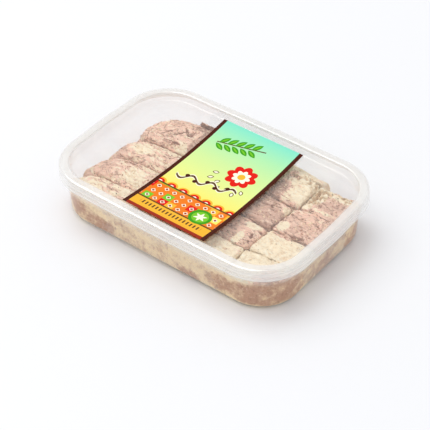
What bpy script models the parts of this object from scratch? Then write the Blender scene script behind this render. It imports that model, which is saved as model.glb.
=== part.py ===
"""Shut clear tub of marbled sesame halva: tub, snap lid, printed label and the pieces of halva inside.

The pack stands on the XY plane with its middle on the Z axis, its long side along X and its front at -Y.
Both mouldings are one section, given as inset from the lid's outer edge and height, run round the same
rounded outline. The halva lies in four rows along X, each cut into three lumpy logs.
"""

import math
from dataclasses import dataclass

import bmesh
import bpy
import numpy as np
from mathutils import Vector, noise

MM = 0.001

# Driving dimensions of the pack
LID_LENGTH = 184.0 * MM
LID_WIDTH = 123.6 * MM
PACK_HEIGHT = 36.0 * MM
LID_CORNER = 32.3 * MM
SHEET = 0.7 * MM  # thickness of both mouldings
FIT = 0.3 * MM  # air between pieces that touch
END_BOW = 0.8 * MM  # how far the short sides swell at their middle
SIDE_BOW = 0.6 * MM  # the same for the long sides

# Tub, all insets from the lid's outer edge
BASE_INSET = 5.5 * MM
BASE_FILLET = 3.0 * MM
SHOULDER_HEIGHT = 20.0 * MM  # stacking step in the wall
SHOULDER_STEP = 0.6 * MM
WALL_DRAFT = 0.4 * MM  # over each of the two heights of wall
FLANGE_INSET = 2.3 * MM  # inner face of the lip that hangs from the flange
FLANGE_TURN = 1.0 * MM  # rounding from the wall to the flange
LIP_DEPTH = 3.3 * MM
FLANGE_HEIGHT = PACK_HEIGHT - SHEET - FIT  # top of the flange, just under the lid

# Lid
SKIRT_HEIGHT = 7.6 * MM
SKIRT_LEAN = 1.3 * MM  # the skirt's foot stands this far inside its widest line
SKIRT_KNEE = (0.3, 0.6)  # shares of the lean and of the height where the skirt bends
CROWN_ROUND = 2.2 * MM  # rounding of the rim's outer edge
RIM_INNER = 7.2 * MM  # inset of the rim's inner edge
RIM_ROUND = 1.3 * MM  # rounding of that edge
RIM_ROUND_SET = 0.9 * MM  # how far the rounding's centre lies outside it
RECESS_ROUND = 1.2 * MM  # rounding at the foot of the recess wall
RECESS_DEPTH = 4.5 * MM
PANEL_INSET = 9.6 * MM
PANEL_SAG = 4.0 * MM  # how far the panel hangs at its middle

# Label
LABEL_WIDTH = 62.5 * MM
LABEL_LENGTH = 103.0 * MM
LABEL_SHIFT = 1.0 * MM  # along X from the middle of the lid
LABEL_SHEET = 0.3 * MM
LABEL_LIFT = 0.4 * MM  # from the panel's curve to the label's underside

# Halva
LOG_GAP = 0.8 * MM  # between neighbouring logs
CROWN_RADIUS = 6.0 * MM
FOOT_RADIUS = 2.5 * MM
END_LEAN = 11.0 * MM  # the left ends spread this far towards the wall at their foot
BACK_LEAN = 10.0 * MM  # the back row spreads this far towards the back wall
LEAN_REACH = 22.0 * MM  # how far into a log its lean is felt
NOSE_SHARE = 0.25  # how much narrower the left ends are than their logs
CORNER_SHARE = 0.6  # how much of its back half the back left log loses at its end
WALL_CLEARANCE = 0.6 * MM
LUMP_BITE = 1.3 * MM  # deepest hollow in a log's surface
LUMP_SCALE = 16.0 * MM
WANDER = 1.0 * MM  # how far the grooves stray from straight lines
WANDER_SCALE = (13.0 * MM, 22.0 * MM)  # along Y and along X
WANDER_START = (0.6, 1.9)  # where the two drifts begin, in radians
CHIP_ENDS = (-47.0 * MM, -33.0 * MM)  # the broken chip behind the back row, along X
CHIP_HEIGHT = 23.5 * MM
CHIP_DROP = 3.5 * MM  # how far its broken top falls away
CHIP_RAG = 4.0 * MM
CHIP_TAPER = 0.35  # how much shorter the chip is along X at its top

# How finely the round forms are divided
CORNER_STEPS = 7
SIDE_STEPS = 4
FILLET_STEPS = 3
PANEL_RINGS = (0.75, 0.5, 0.25)
LABEL_CELLS = (6, 10)
LOG_CELL = 9.0 * MM


@dataclass(frozen=True)
class Row:
    """One row of three logs, with lengths in millimetres: the row in front ends where this one starts."""

    name: str
    front: float | None  # None where the row reaches the front wall
    backs: tuple[float, float, float]
    left_end: float
    joints: tuple[float, float]
    heights: tuple[float, float, float]
    colours: tuple[str, str, str]


ROWS = (
    Row("row1", 16.4, (42.5, 42.5, 39.5), -69, (8.0, 53.8), (26.4, 25.4, 25.8), ("cocoa", "cream", "marbled")),
    Row("row2", -6.2, (16.4,) * 3, -71, (8.6, 50.6), (24.6, 25.2, 26.0), ("marbled", "cocoa", "cocoa")),
    Row("row3", -30.4, (-6.2,) * 3, -73, (7.4, 51.2), (25.2, 24.6, 25.6), ("marbled", "marbled", "cream")),
    Row("row4", None, (-30.4,) * 3, -73, (8.2, 51.4), (24.8, 25.0, 25.4), ("cream", "cream", "cream")),
)


@dataclass(frozen=True)
class Log:
    """One log of halva: its crown's rectangle, its height and which of its ends lean outwards."""

    name: str
    left: float
    right: float
    front: float
    back: float
    height: float
    colour: str
    leans_left: bool = False
    leans_back: bool = False


COLOURS = {
    "clear": (0.93, 0.93, 0.91, 0.35),
    "label": (0.62, 0.80, 0.45, 1.0),
    "cocoa": (0.56, 0.38, 0.27, 1.0),
    "cream": (0.84, 0.72, 0.52, 1.0),
    "marbled": (0.70, 0.53, 0.38, 1.0),
}


# ---------------------------------------------------------------------------------------------- materials


def material(name, roughness=0.85):
    """A Principled material in one of the part's colours."""
    made = bpy.data.materials.get(name)
    if made:
        return made
    made = bpy.data.materials.new(name)
    made.use_nodes = True
    shader = made.node_tree.nodes["Principled BSDF"]
    colour = COLOURS[name]
    shader.inputs["Base Color"].default_value = (*colour[:3], 1.0)
    shader.inputs["Alpha"].default_value = colour[3]
    shader.inputs["Roughness"].default_value = roughness
    shader.inputs["Metallic"].default_value = 0.0
    return made


def add_object(name, mesh, look, parent, smooth_under=None):
    """Puts a closed bmesh into the scene as one named object."""
    bmesh.ops.recalc_face_normals(mesh, faces=mesh.faces)
    data = bpy.data.meshes.new(name)
    mesh.to_mesh(data)
    mesh.free()
    data.materials.append(look)
    if smooth_under is not None:
        data.shade_smooth()
        data.set_sharp_from_angle(angle=math.radians(smooth_under))
    made = bpy.data.objects.new(name, data)
    made.parent = parent
    bpy.context.collection.objects.link(made)
    return made


# --------------------------------------------------------------------------------- outline and sections


def swell(share):
    """A side's bow from 0 at its ends to 1 at its middle, flat where it meets the corners."""
    return 0.5 - 0.5 * math.cos(2 * math.pi * share)


def side_points(start, end, bow):
    """Points along one bowed side, without its last one, which the next corner makes."""
    along = end - start
    outward = Vector((along.y, -along.x)).normalized()
    for step in range(1, SIDE_STEPS):
        share = step / SIDE_STEPS
        yield start + along * share + outward * (bow * swell(share))


def outline(inset):
    """The pack's plan, anticlockwise from the front right corner, this far inside the lid's edge."""
    half_x = LID_LENGTH / 2 - END_BOW - inset
    half_y = LID_WIDTH / 2 - SIDE_BOW - inset
    radius = LID_CORNER - inset
    points = []
    for corner in range(4):
        sign_x = 1 if corner in (0, 1) else -1
        sign_y = 1 if corner in (1, 2) else -1
        centre = Vector((sign_x * (half_x - radius), sign_y * (half_y - radius)))
        for step in range(CORNER_STEPS + 1):
            angle = math.pi / 2 * (corner - 1 + step / CORNER_STEPS)
            points.append(centre + radius * Vector((math.cos(angle), math.sin(angle))))
    rounded = []
    for corner in range(4):
        arc = points[corner * (CORNER_STEPS + 1) : (corner + 1) * (CORNER_STEPS + 1)]
        after = points[(corner + 1) * (CORNER_STEPS + 1) % len(points)]
        rounded += arc
        rounded += side_points(arc[-1], after, END_BOW if corner % 2 == 0 else SIDE_BOW)
    return rounded


def arc(centre, radius, first, last, steps=FILLET_STEPS):
    """Points of a fillet in a section, from one angle in degrees to another."""
    made = []
    for step in range(steps + 1):
        angle = math.radians(first + (last - first) * step / steps)
        made.append((centre[0] + radius * math.cos(angle), centre[1] + radius * math.sin(angle)))
    return made


def offset_section(section, distance):
    """The same open section, moved sideways to its right by one thickness, with mitred corners."""
    points = [Vector(p) for p in section]
    normals = []
    for here, ahead in zip(points, points[1:]):
        along = (ahead - here).normalized()
        normals.append(Vector((along.y, -along.x)))
    moved = []
    for index, point in enumerate(points):
        before = normals[max(index - 1, 0)]
        after = normals[min(index, len(normals) - 1)]
        mitre = (before + after).normalized()
        moved.append(tuple(point + mitre * (distance / mitre.dot(after))))
    return moved


def tub_section():
    """The tub's outer face as (inset, height), from the floor's edge up the wall to the end of the lip."""
    wall_foot = (BASE_INSET, BASE_FILLET)
    under_step = (BASE_INSET - WALL_DRAFT, SHOULDER_HEIGHT - SHOULDER_STEP)
    over_step = (under_step[0] - SHOULDER_STEP, SHOULDER_HEIGHT + SHOULDER_STEP)
    flange_under = FLANGE_HEIGHT - SHEET
    wall_top = over_step[0] - WALL_DRAFT
    floor_edge = arc((BASE_INSET + BASE_FILLET, BASE_FILLET), BASE_FILLET, -90, -180)[:-1]
    root_centre = (wall_top - FLANGE_TURN, flange_under - FLANGE_TURN)
    flange_root = arc(root_centre, FLANGE_TURN, 0, 90, 2)
    lip = [(FLANGE_INSET, flange_under), (FLANGE_INSET, flange_under - LIP_DEPTH)]
    return [*floor_edge, wall_foot, under_step, over_step, *flange_root, *lip]


def lid_section():
    """The lid's outer face as (inset, height), from the panel's edge over the rim to the skirt's foot."""
    panel = PACK_HEIGHT - RECESS_DEPTH
    recess_foot = arc((PANEL_INSET, panel + RECESS_ROUND), RECESS_ROUND, -90, -165, 2)
    rim_edge = arc((RIM_INNER - RIM_ROUND_SET, PACK_HEIGHT - RIM_ROUND), RIM_ROUND, 10, 90)
    crown = arc((CROWN_ROUND, PACK_HEIGHT - CROWN_ROUND), CROWN_ROUND, 90, 180, 4)
    knee = (SKIRT_KNEE[0] * SKIRT_LEAN, PACK_HEIGHT - SKIRT_KNEE[1] * SKIRT_HEIGHT)
    skirt_foot = (SKIRT_LEAN, PACK_HEIGHT - SKIRT_HEIGHT)
    return [*recess_foot, *rim_edge, *crown, knee, skirt_foot]


def inner_wall_inset(height):
    """Inset of the tub's inner face at a height."""
    inner = offset_section(tub_section(), SHEET)
    wall = [p for p in inner if p[0] > BASE_INSET - SHEET - SHOULDER_STEP - 2 * WALL_DRAFT]
    return float(np.interp(height, [p[1] for p in wall], [p[0] for p in wall]))


# ---------------------------------------------------------------------------------------------- mouldings


def add_ring(mesh, section_point, scale=1.0, height_at=None):
    """One ring of vertices round the pack, drawn in towards its middle by a scale for the panel."""
    inset, height = section_point
    made = []
    for plan in outline(inset):
        x, y = plan * scale
        z = height_at(x, y) if height_at else height
        made.append(mesh.verts.new((x, y, z)))
    return made


def bridge(mesh, rings):
    """Quads between each ring and the next."""
    for low, high in zip(rings, rings[1:]):
        count = len(low)
        for index in range(count):
            after = (index + 1) % count
            mesh.faces.new((low[index], low[after], high[after], high[index]))


def cap(mesh, ring, height):
    """A fan of triangles that closes a ring at the pack's middle."""
    middle = mesh.verts.new((0.0, 0.0, height))
    for index, vert in enumerate(ring):
        mesh.faces.new((vert, ring[(index + 1) % len(ring)], middle))


def build_tub(parent):
    """Clear tub: flat floor, filleted foot, stepped wall, flange and hanging lip."""
    outer = tub_section()
    inner = offset_section(outer, SHEET)
    mesh = bmesh.new()
    rings = [add_ring(mesh, point) for point in [*outer, *reversed(inner)]]
    bridge(mesh, rings)
    cap(mesh, rings[0], outer[0][1])
    cap(mesh, rings[-1], inner[0][1])
    return add_object("tub", mesh, material("clear", 0.2), parent, smooth_under=40)


def panel_height(x, y):
    """Height of the lid's hanging panel."""
    half_x = LID_LENGTH / 2 - PANEL_INSET
    half_y = LID_WIDTH / 2 - PANEL_INSET
    hang = max(0.0, 1 - (x / half_x) ** 2) * max(0.0, 1 - (y / half_y) ** 2)
    return PACK_HEIGHT - RECESS_DEPTH - PANEL_SAG * hang


def build_lid(parent):
    """Clear snap lid: hanging panel, recess wall, round rim and skirt."""
    outer = lid_section()
    inner = offset_section(outer, -SHEET)
    mesh = bmesh.new()
    upper = [
        add_ring(mesh, outer[0], scale, panel_height) for scale in reversed(PANEL_RINGS)
    ]
    lower = [
        add_ring(mesh, inner[0], scale, lambda x, y: panel_height(x, y) - SHEET)
        for scale in PANEL_RINGS
    ]
    rim = [add_ring(mesh, point) for point in [*outer, *reversed(inner)]]
    rings = [*upper, *rim, *lower]
    bridge(mesh, rings)
    cap(mesh, rings[0], panel_height(0, 0))
    cap(mesh, rings[-1], panel_height(0, 0) - SHEET)
    return add_object("lid", mesh, material("clear", 0.2), parent, smooth_under=40)


def build_label(parent):
    """Printed label: a thin sheet that follows the hanging panel from front to back."""
    across, along = LABEL_CELLS
    mesh = bmesh.new()
    layers = []
    for lift in (LABEL_LIFT, LABEL_LIFT + LABEL_SHEET):
        grid = []
        for row in range(along + 1):
            y = LABEL_LENGTH * (row / along - 0.5)
            line = []
            for column in range(across + 1):
                x = LABEL_SHIFT + LABEL_WIDTH * (column / across - 0.5)
                line.append(mesh.verts.new((x, y, panel_height(x, y) + lift)))
            grid.append(line)
        layers.append(grid)
        for row in range(along):
            for column in range(across):
                mesh.faces.new(
                    (
                        grid[row][column],
                        grid[row][column + 1],
                        grid[row + 1][column + 1],
                        grid[row + 1][column],
                    )
                )
    edges = [border(grid) for grid in layers]
    for index in range(len(edges[0])):
        after = (index + 1) % len(edges[0])
        mesh.faces.new((edges[0][index], edges[0][after], edges[1][after], edges[1][index]))
    return add_object("label", mesh, material("label", 0.4), parent, smooth_under=30)


def border(grid):
    """The vertices round a grid, in order."""
    right = [line[-1] for line in grid[1:-1]]
    left = [line[0] for line in reversed(grid[1:-1])]
    return [*grid[0], *right, *reversed(grid[-1]), *left]


# -------------------------------------------------------------------------------------------------- halva


def halva_logs():
    """Every log, from the back row to the front one and from left to right."""
    wall_x = LID_LENGTH / 2 - END_BOW - inner_wall_inset(SHOULDER_HEIGHT / 2)
    wall_y = LID_WIDTH / 2 - SIDE_BOW - inner_wall_inset(SHOULDER_HEIGHT / 2)
    for row in ROWS:
        is_back = row.name == "row1"
        front = -wall_y if row.front is None else row.front * MM + LOG_GAP / 2
        edges = (row.left_end * MM, *(joint * MM for joint in row.joints), wall_x)
        for index, place in enumerate(("left", "middle", "right")):
            yield Log(
                name=f"halva_{row.name}_{place}",
                left=edges[index] + LOG_GAP / 2,
                right=edges[index + 1] - LOG_GAP / 2,
                front=front,
                back=row.backs[index] * MM - (0.0 if is_back else LOG_GAP / 2),
                height=row.heights[index] * MM,
                colour=row.colours[index],
                leans_left=place == "left",
                leans_back=is_back,
            )


def stations(low, high, low_radius, high_radius):
    """Where a log's surface is divided along one axis: at its fillets' ends and evenly between them."""
    first = low + low_radius
    last = high - high_radius
    cells = max(2, round((last - first) / LOG_CELL))
    between = [first + (last - first) * step / cells for step in range(cells + 1)]
    return [low, *between, high]


def box_surface(xs, ys, zs):
    """The divided surface of a box as a bmesh that shares its vertices."""
    mesh = bmesh.new()
    made = {}

    def vert(i, j, k):
        if (i, j, k) not in made:
            made[i, j, k] = mesh.verts.new((xs[i], ys[j], zs[k]))
        return made[i, j, k]

    last = (len(xs) - 1, len(ys) - 1, len(zs) - 1)
    for axis in range(3):
        one, two = (n for n in range(3) if n != axis)
        for side in (0, last[axis]):
            for a in range(last[one]):
                for b in range(last[two]):
                    corners = []
                    for step_a, step_b in ((0, 0), (1, 0), (1, 1), (0, 1)):
                        place = [0, 0, 0]
                        place[axis] = side
                        place[one] = a + step_a
                        place[two] = b + step_b
                        corners.append(vert(*place))
                    mesh.faces.new(corners)
    return mesh


def lean(point, log):
    """Spreads a log's left end, drawn in to a nose, and the back row's back, most at the foot."""
    spread = math.sqrt(max(0.0, 1 - (point.z / log.height) ** 2))
    x, y = point.x, point.y
    if log.leans_left:
        share = min(max((log.left + LEAN_REACH - x) / LEAN_REACH, 0.0), 1.0)
        middle = (log.front + log.back) / 2
        x -= END_LEAN * spread * share
        if log.leans_back:
            y -= max(y - middle, 0.0) * CORNER_SHARE * share**3
        y += (middle - y) * NOSE_SHARE * share**2
    if log.leans_back:
        share = min(max((point.y - log.back + LEAN_REACH) / LEAN_REACH, 0.0), 1.0)
        y += BACK_LEAN * spread * share
    return Vector((x, y, point.z))


def wander(point):
    """One smooth drift of the whole filling, so that grooves aren't straight and still never cross."""
    drift_x = WANDER * math.sin(point.y / WANDER_SCALE[0] + WANDER_START[0])
    drift_y = WANDER * math.sin(point.x / WANDER_SCALE[1] + WANDER_START[1])
    return Vector((point.x + drift_x, point.y + drift_y, point.z))


def hold_inside(point, clearance=WALL_CLEARANCE):
    """Presses a point back to the tub's inner wall, less a clearance, if it lies past it."""
    inset = inner_wall_inset(point.z) + clearance
    half_x = LID_LENGTH / 2 - END_BOW - LID_CORNER
    half_y = LID_WIDTH / 2 - SIDE_BOW - LID_CORNER
    core = Vector((min(max(point.x, -half_x), half_x), min(max(point.y, -half_y), half_y), point.z))
    past = point - core
    radius = LID_CORNER - inset
    return core + past * (radius / past.length) if past.length > radius else point


def round_off(point, log, floor):
    """A point of a log's box moved onto the log's rounded, bitten surface inside the tub."""
    rise = (point.z - floor) / (log.height - floor)
    radius = FOOT_RADIUS + (CROWN_RADIUS - FOOT_RADIUS) * rise
    core = Vector(
        (
            min(max(point.x, log.left + radius), log.right - radius),
            min(max(point.y, log.front + radius), log.back - radius),
            min(max(point.z, floor + FOOT_RADIUS), log.height - CROWN_RADIUS),
        )
    )
    core = hold_inside(core, WALL_CLEARANCE + radius)
    outward = (point - core).normalized()
    rough = 0.5 + 0.5 * noise.fractal(point / LUMP_SCALE, 0.8, 2.2, 2)
    bite = LUMP_BITE * min(max(rough, 0.0), 1.0) * min(1.0, 1 + outward.z)
    return hold_inside(wander(lean(core + outward * (radius - bite), log)))


def log_surface(log):
    """The divided, rounded surface of a log as a bmesh."""
    floor = SHEET + FIT
    xs = stations(log.left, log.right, CROWN_RADIUS, CROWN_RADIUS)
    ys = stations(log.front, log.back, CROWN_RADIUS, CROWN_RADIUS)
    zs = stations(floor, log.height, FOOT_RADIUS, CROWN_RADIUS)
    mesh = box_surface(xs, ys, zs)
    for vert in mesh.verts:
        vert.co = round_off(vert.co.copy(), log, floor)
    return mesh


def build_log(log, parent):
    """One lumpy log of halva, rounded at its crown, pressed to the wall and to the floor."""
    return add_object(log.name, log_surface(log), material(log.colour), parent, smooth_under=50)


def chip_point(point, back_log):
    """A point of the chip from its place along X, its share from flank to wall, and its height."""
    z = point.z
    spread = math.sqrt(max(0.0, 1 - (z / back_log.height) ** 2))
    flank = wander(Vector((point.x, back_log.back + BACK_LEAN * spread, z))).y + LOG_GAP
    wall = hold_inside(Vector((point.x, LID_WIDTH, z))).y
    inner = 1.0 - abs(2 * point.y - 1.0) if z > CHIP_HEIGHT / 2 else 1.0
    ragged = 0.5 + 0.5 * noise.noise(point / CHIP_RAG)
    drop = CHIP_DROP * max(0.0, z / CHIP_HEIGHT - 0.5) * (ragged + 1.0 - inner)
    narrow = 1.0 - CHIP_TAPER * (z / CHIP_HEIGHT) ** 3 * ragged
    middle = sum(CHIP_ENDS) / 2
    return Vector((middle + (point.x - middle) * narrow, flank + (wall - flank) * point.y, z - drop))


def build_chip(parent, back_log):
    """A broken chip of cocoa halva that stands between the back row's flank and the back wall."""
    floor = SHEET + FIT
    xs = np.linspace(*CHIP_ENDS, 6)
    shares = np.linspace(0.0, 1.0, 4)
    zs = np.linspace(floor + FOOT_RADIUS, CHIP_HEIGHT, 6)
    mesh = box_surface(xs, shares, zs)
    for vert in mesh.verts:
        vert.co = chip_point(vert.co.copy(), back_log)
    return add_object("halva_chip", mesh, material("cocoa"), parent, smooth_under=50)


# --------------------------------------------------------------------------------------------------- main


def clear_scene():
    """Removes whatever the file opened with."""
    for existing in list(bpy.data.objects):
        bpy.data.objects.remove(existing, do_unlink=True)


def main():
    """Builds the whole pack under one empty at its origin."""
    clear_scene()
    pack = bpy.data.objects.new("pack", None)
    bpy.context.collection.objects.link(pack)
    build_tub(pack)
    build_lid(pack)
    build_label(pack)
    logs = list(halva_logs())
    for log in logs:
        build_log(log, pack)
    build_chip(pack, logs[0])


main()
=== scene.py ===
"""Looks of a shut clear tub of marbled sesame halva.

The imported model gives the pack's box and carries every piece. Sizes are in metres, and places are in the
pack's own frame: +X along the long side, -Y to the front, +Z up, with the origin under the pack's middle.
"""

from __future__ import annotations

import logging
import math
from dataclasses import dataclass, field
from enum import Enum
from typing import Mapping, Sequence, Union

import bpy
import numpy as np
from mathutils import Matrix, Vector, noise


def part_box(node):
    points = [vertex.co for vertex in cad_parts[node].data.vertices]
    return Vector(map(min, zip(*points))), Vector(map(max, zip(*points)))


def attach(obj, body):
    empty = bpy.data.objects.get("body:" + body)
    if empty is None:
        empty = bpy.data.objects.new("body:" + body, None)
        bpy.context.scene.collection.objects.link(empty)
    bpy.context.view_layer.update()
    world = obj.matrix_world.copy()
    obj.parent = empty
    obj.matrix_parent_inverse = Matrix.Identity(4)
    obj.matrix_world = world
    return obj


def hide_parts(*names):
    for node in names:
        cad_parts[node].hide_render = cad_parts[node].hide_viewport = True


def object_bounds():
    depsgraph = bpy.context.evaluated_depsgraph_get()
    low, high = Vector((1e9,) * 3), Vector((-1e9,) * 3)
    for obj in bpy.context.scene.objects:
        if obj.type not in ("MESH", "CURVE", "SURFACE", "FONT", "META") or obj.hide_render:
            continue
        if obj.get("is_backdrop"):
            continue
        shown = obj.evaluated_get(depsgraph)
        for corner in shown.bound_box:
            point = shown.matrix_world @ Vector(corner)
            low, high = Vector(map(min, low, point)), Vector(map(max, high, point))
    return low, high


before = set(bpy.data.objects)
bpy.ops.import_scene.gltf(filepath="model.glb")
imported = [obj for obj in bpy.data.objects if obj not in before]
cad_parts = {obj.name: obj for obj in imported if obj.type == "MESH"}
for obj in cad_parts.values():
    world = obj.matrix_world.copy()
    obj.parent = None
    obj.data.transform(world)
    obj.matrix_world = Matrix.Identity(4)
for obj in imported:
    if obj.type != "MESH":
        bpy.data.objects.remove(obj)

LOG = logging.getLogger("halva_tub")
MM = 0.001
Colour = tuple[float, float, float]


def shade(red: int, green: int, blue: int) -> Colour:
    """A colour given as 0 to 255 on a screen, as the linear values that shaders take.

    Args:
        red: Its red, from 0 to 255.
        green: Its green, from 0 to 255.
        blue: Its blue, from 0 to 255.

    Returns:
        The colour.
    """

    def linear(level: int) -> float:
        """One channel's linear share."""
        share = level / 255
        return share / 12.92 if share <= 0.04045 else ((share + 0.055) / 1.055) ** 2.4

    return linear(red), linear(green), linear(blue)


# ------------------------------------------------------------------------------------------- node graphs


class Value:
    """A socket that carries one number, with Python's operators as Math nodes."""

    def __init__(self, graph: Graph, socket: bpy.types.NodeSocket) -> None:
        """Keeps the socket and the graph that it belongs to."""
        self.graph = graph
        self.socket = socket

    def __add__(self, other: Number) -> Value:
        """The sum of two numbers."""
        return self.graph.math("ADD", self, other)

    __radd__ = __add__

    def __sub__(self, other: Number) -> Value:
        """This number less another."""
        return self.graph.math("SUBTRACT", self, other)

    def __rsub__(self, other: Number) -> Value:
        """Another number less this one."""
        return self.graph.math("SUBTRACT", other, self)

    def __mul__(self, other: Number) -> Value:
        """The product of two numbers."""
        return self.graph.math("MULTIPLY", self, other)

    __rmul__ = __mul__

    def __truediv__(self, other: Number) -> Value:
        """This number divided by another."""
        return self.graph.math("DIVIDE", self, other)

    def __rtruediv__(self, other: Number) -> Value:
        """Another number divided by this one."""
        return self.graph.math("DIVIDE", other, self)

    def __pow__(self, other: Number) -> Value:
        """This number to a power."""
        return self.graph.math("POWER", self, other)

    def __abs__(self) -> Value:
        """The number without its sign."""
        return self.graph.math("ABSOLUTE", self)

    def least(self, other: Number) -> Value:
        """The smaller of two numbers."""
        return self.graph.math("MINIMUM", self, other)

    def most(self, other: Number) -> Value:
        """The larger of two numbers."""
        return self.graph.math("MAXIMUM", self, other)

    def below(self, other: Number) -> Value:
        """1 where this number is below another, else 0."""
        return self.graph.math("LESS_THAN", self, other)

    def ease(self, start: float, end: float) -> Value:
        """Rises smoothly from 0 at start to 1 at end, or falls where end is the smaller.

        Args:
            start: Where the result is 0.
            end: Where the result is 1.

        Returns:
            The eased number.
        """
        low, high = min(start, end), max(start, end)
        levels = (0.0, 1.0) if start < end else (1.0, 0.0)
        return self.graph.add(
            "ShaderNodeMapRange",
            {"interpolation_type": "SMOOTHSTEP"},
            {"Value": self, "From Min": low, "From Max": high, "To Min": levels[0], "To Max": levels[1]},
        )


class Triple:
    """A socket that carries a vector or a colour, with Python's operators as Vector Math nodes."""

    def __init__(self, graph: Graph, socket: bpy.types.NodeSocket) -> None:
        """Keeps the socket and the graph that it belongs to."""
        self.graph = graph
        self.socket = socket

    def __add__(self, other: Triad) -> Triple:
        """The sum, component by component."""
        return self.graph.vector_math("ADD", self, other)

    __radd__ = __add__

    def __sub__(self, other: Triad) -> Triple:
        """The difference, component by component."""
        return self.graph.vector_math("SUBTRACT", self, other)

    def __mul__(self, other: Union[Triad, Number]) -> Triple:
        """The product with another triple, or the triple scaled by a number.

        Args:
            other: A triple or a number.

        Returns:
            The product.
        """
        if isinstance(other, (Value, int, float)):
            return self.graph.add("ShaderNodeVectorMath", {"operation": "SCALE"}, {0: self, "Scale": other})
        return self.graph.vector_math("MULTIPLY", self, other)

    __rmul__ = __mul__

    def parts(self) -> tuple[Value, Value, Value]:
        """The three components."""
        node = self.graph.node("ShaderNodeSeparateXYZ", {}, {0: self})
        return tuple(Value(self.graph, socket) for socket in node.outputs)


Number = Union[Value, float]
Triad = Union[Triple, Sequence[float]]
Wire = Union[Value, Triple]


class Graph:
    """The nodes of one material or one geometry tree, added in the order that they are written."""

    def __init__(self, tree: bpy.types.NodeTree) -> None:
        """Starts from a tree's own nodes."""
        self.tree = tree

    @staticmethod
    def _find(sockets: Sequence[bpy.types.NodeSocket], key: Union[int, str]) -> bpy.types.NodeSocket:
        """The socket in use with a name, or at a place among those in use.

        Args:
            sockets: A node's inputs or outputs.
            key: The socket's name or place.

        Returns:
            The socket.
        """
        live = [socket for socket in sockets if socket.enabled]
        if isinstance(key, int):
            return live[key]
        return next(socket for socket in live if socket.name == key)

    def node(self, kind: str, settings: Mapping[str, object], sockets: Mapping) -> bpy.types.Node:
        """Adds one node.

        Args:
            kind: The node's type, as Blender names it.
            settings: Its properties, set before its sockets; "stops" are a colour ramp's.
            sockets: Values or wires by socket name or place.

        Returns:
            The node.
        """
        made = self.tree.nodes.new(kind)
        for name, setting in settings.items():
            if name == "stops":
                self._set_stops(made.color_ramp, setting)
            else:
                setattr(made, name, setting)
        for key, value in sockets.items():
            socket = self._find(made.inputs, key)
            if isinstance(value, (Value, Triple)):
                self.tree.links.new(value.socket, socket)
            elif isinstance(value, bpy.types.NodeSocket):
                self.tree.links.new(value, socket)
            elif socket.type == "RGBA":
                socket.default_value = (*value, 1.0)[:4]
            else:
                socket.default_value = value
        return made

    @staticmethod
    def _set_stops(ramp: bpy.types.ColorRamp, stops: Stops) -> None:
        """Gives a colour ramp its stops.

        Args:
            ramp: The ramp.
            stops: The place and the colour of each stop.
        """
        while len(ramp.elements) < len(stops):
            ramp.elements.new(1.0)
        for element, (place, colour) in zip(ramp.elements, stops):
            element.position = place
            element.color = (*colour, 1.0)

    def add(self, kind: str, settings: Mapping, sockets: Mapping, output: Union[int, str] = 0) -> Wire:
        """Adds one node and gives one of its outputs.

        Args:
            kind: The node's type.
            settings: Its properties.
            sockets: Values or wires by socket name or place.
            output: Which output to give.

        Returns:
            The output, as a Triple if it carries a vector or a colour.
        """
        socket = self._find(self.node(kind, settings, sockets).outputs, output)
        carrier = Triple if socket.type in ("VECTOR", "RGBA") else Value
        return carrier(self, socket)

    def math(self, operation: str, *operands: Number) -> Value:
        """A Math node on numbers."""
        return self.add("ShaderNodeMath", {"operation": operation}, dict(enumerate(operands)))

    def vector_math(self, operation: str, *operands: Triad) -> Triple:
        """A Vector Math node on vectors or colours."""
        return self.add("ShaderNodeVectorMath", {"operation": operation}, dict(enumerate(operands)))

    def mix(self, factor: Number, first: Triad, second: Triad) -> Triple:
        """The first colour where the factor is 0 and the second where it is 1."""
        sockets = {"Factor": factor, "A": first, "B": second}
        return self.add("ShaderNodeMix", {"data_type": "RGBA", "clamp_factor": True}, sockets)

    def noise(self, place: Triple, size: float, detail: float = 2.0, rough: float = 0.5) -> Value:
        """Soft noise from 0 to 1 with features of about a size."""
        sockets = {"Vector": place, "Scale": 1 / size, "Detail": detail, "Roughness": rough}
        return self.add("ShaderNodeTexNoise", {"noise_dimensions": "3D"}, sockets)

    def drift(self, place: Triple, size: float, reach: Number) -> Triple:
        """A place moved by up to half a reach each way, so that a pattern on it swirls.

        Args:
            place: The place.
            size: How large the swirls are.
            reach: The widest they span.

        Returns:
            The moved place.
        """
        sockets = {"Vector": place, "Scale": 1 / size, "Detail": 1.0}
        push = self.add("ShaderNodeTexNoise", {"noise_dimensions": "3D"}, sockets, "Color")
        return place + (push - (0.5, 0.5, 0.5)) * reach

    def place(self) -> Triple:
        """The point's place in the pack."""
        return self.add("ShaderNodeTexCoord", {}, {}, "Object")

    def attribute(self, name: str) -> Value:
        """A number that the mesh keeps at each point."""
        return self.add("ShaderNodeAttribute", {"attribute_name": name}, {}, "Fac")


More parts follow.
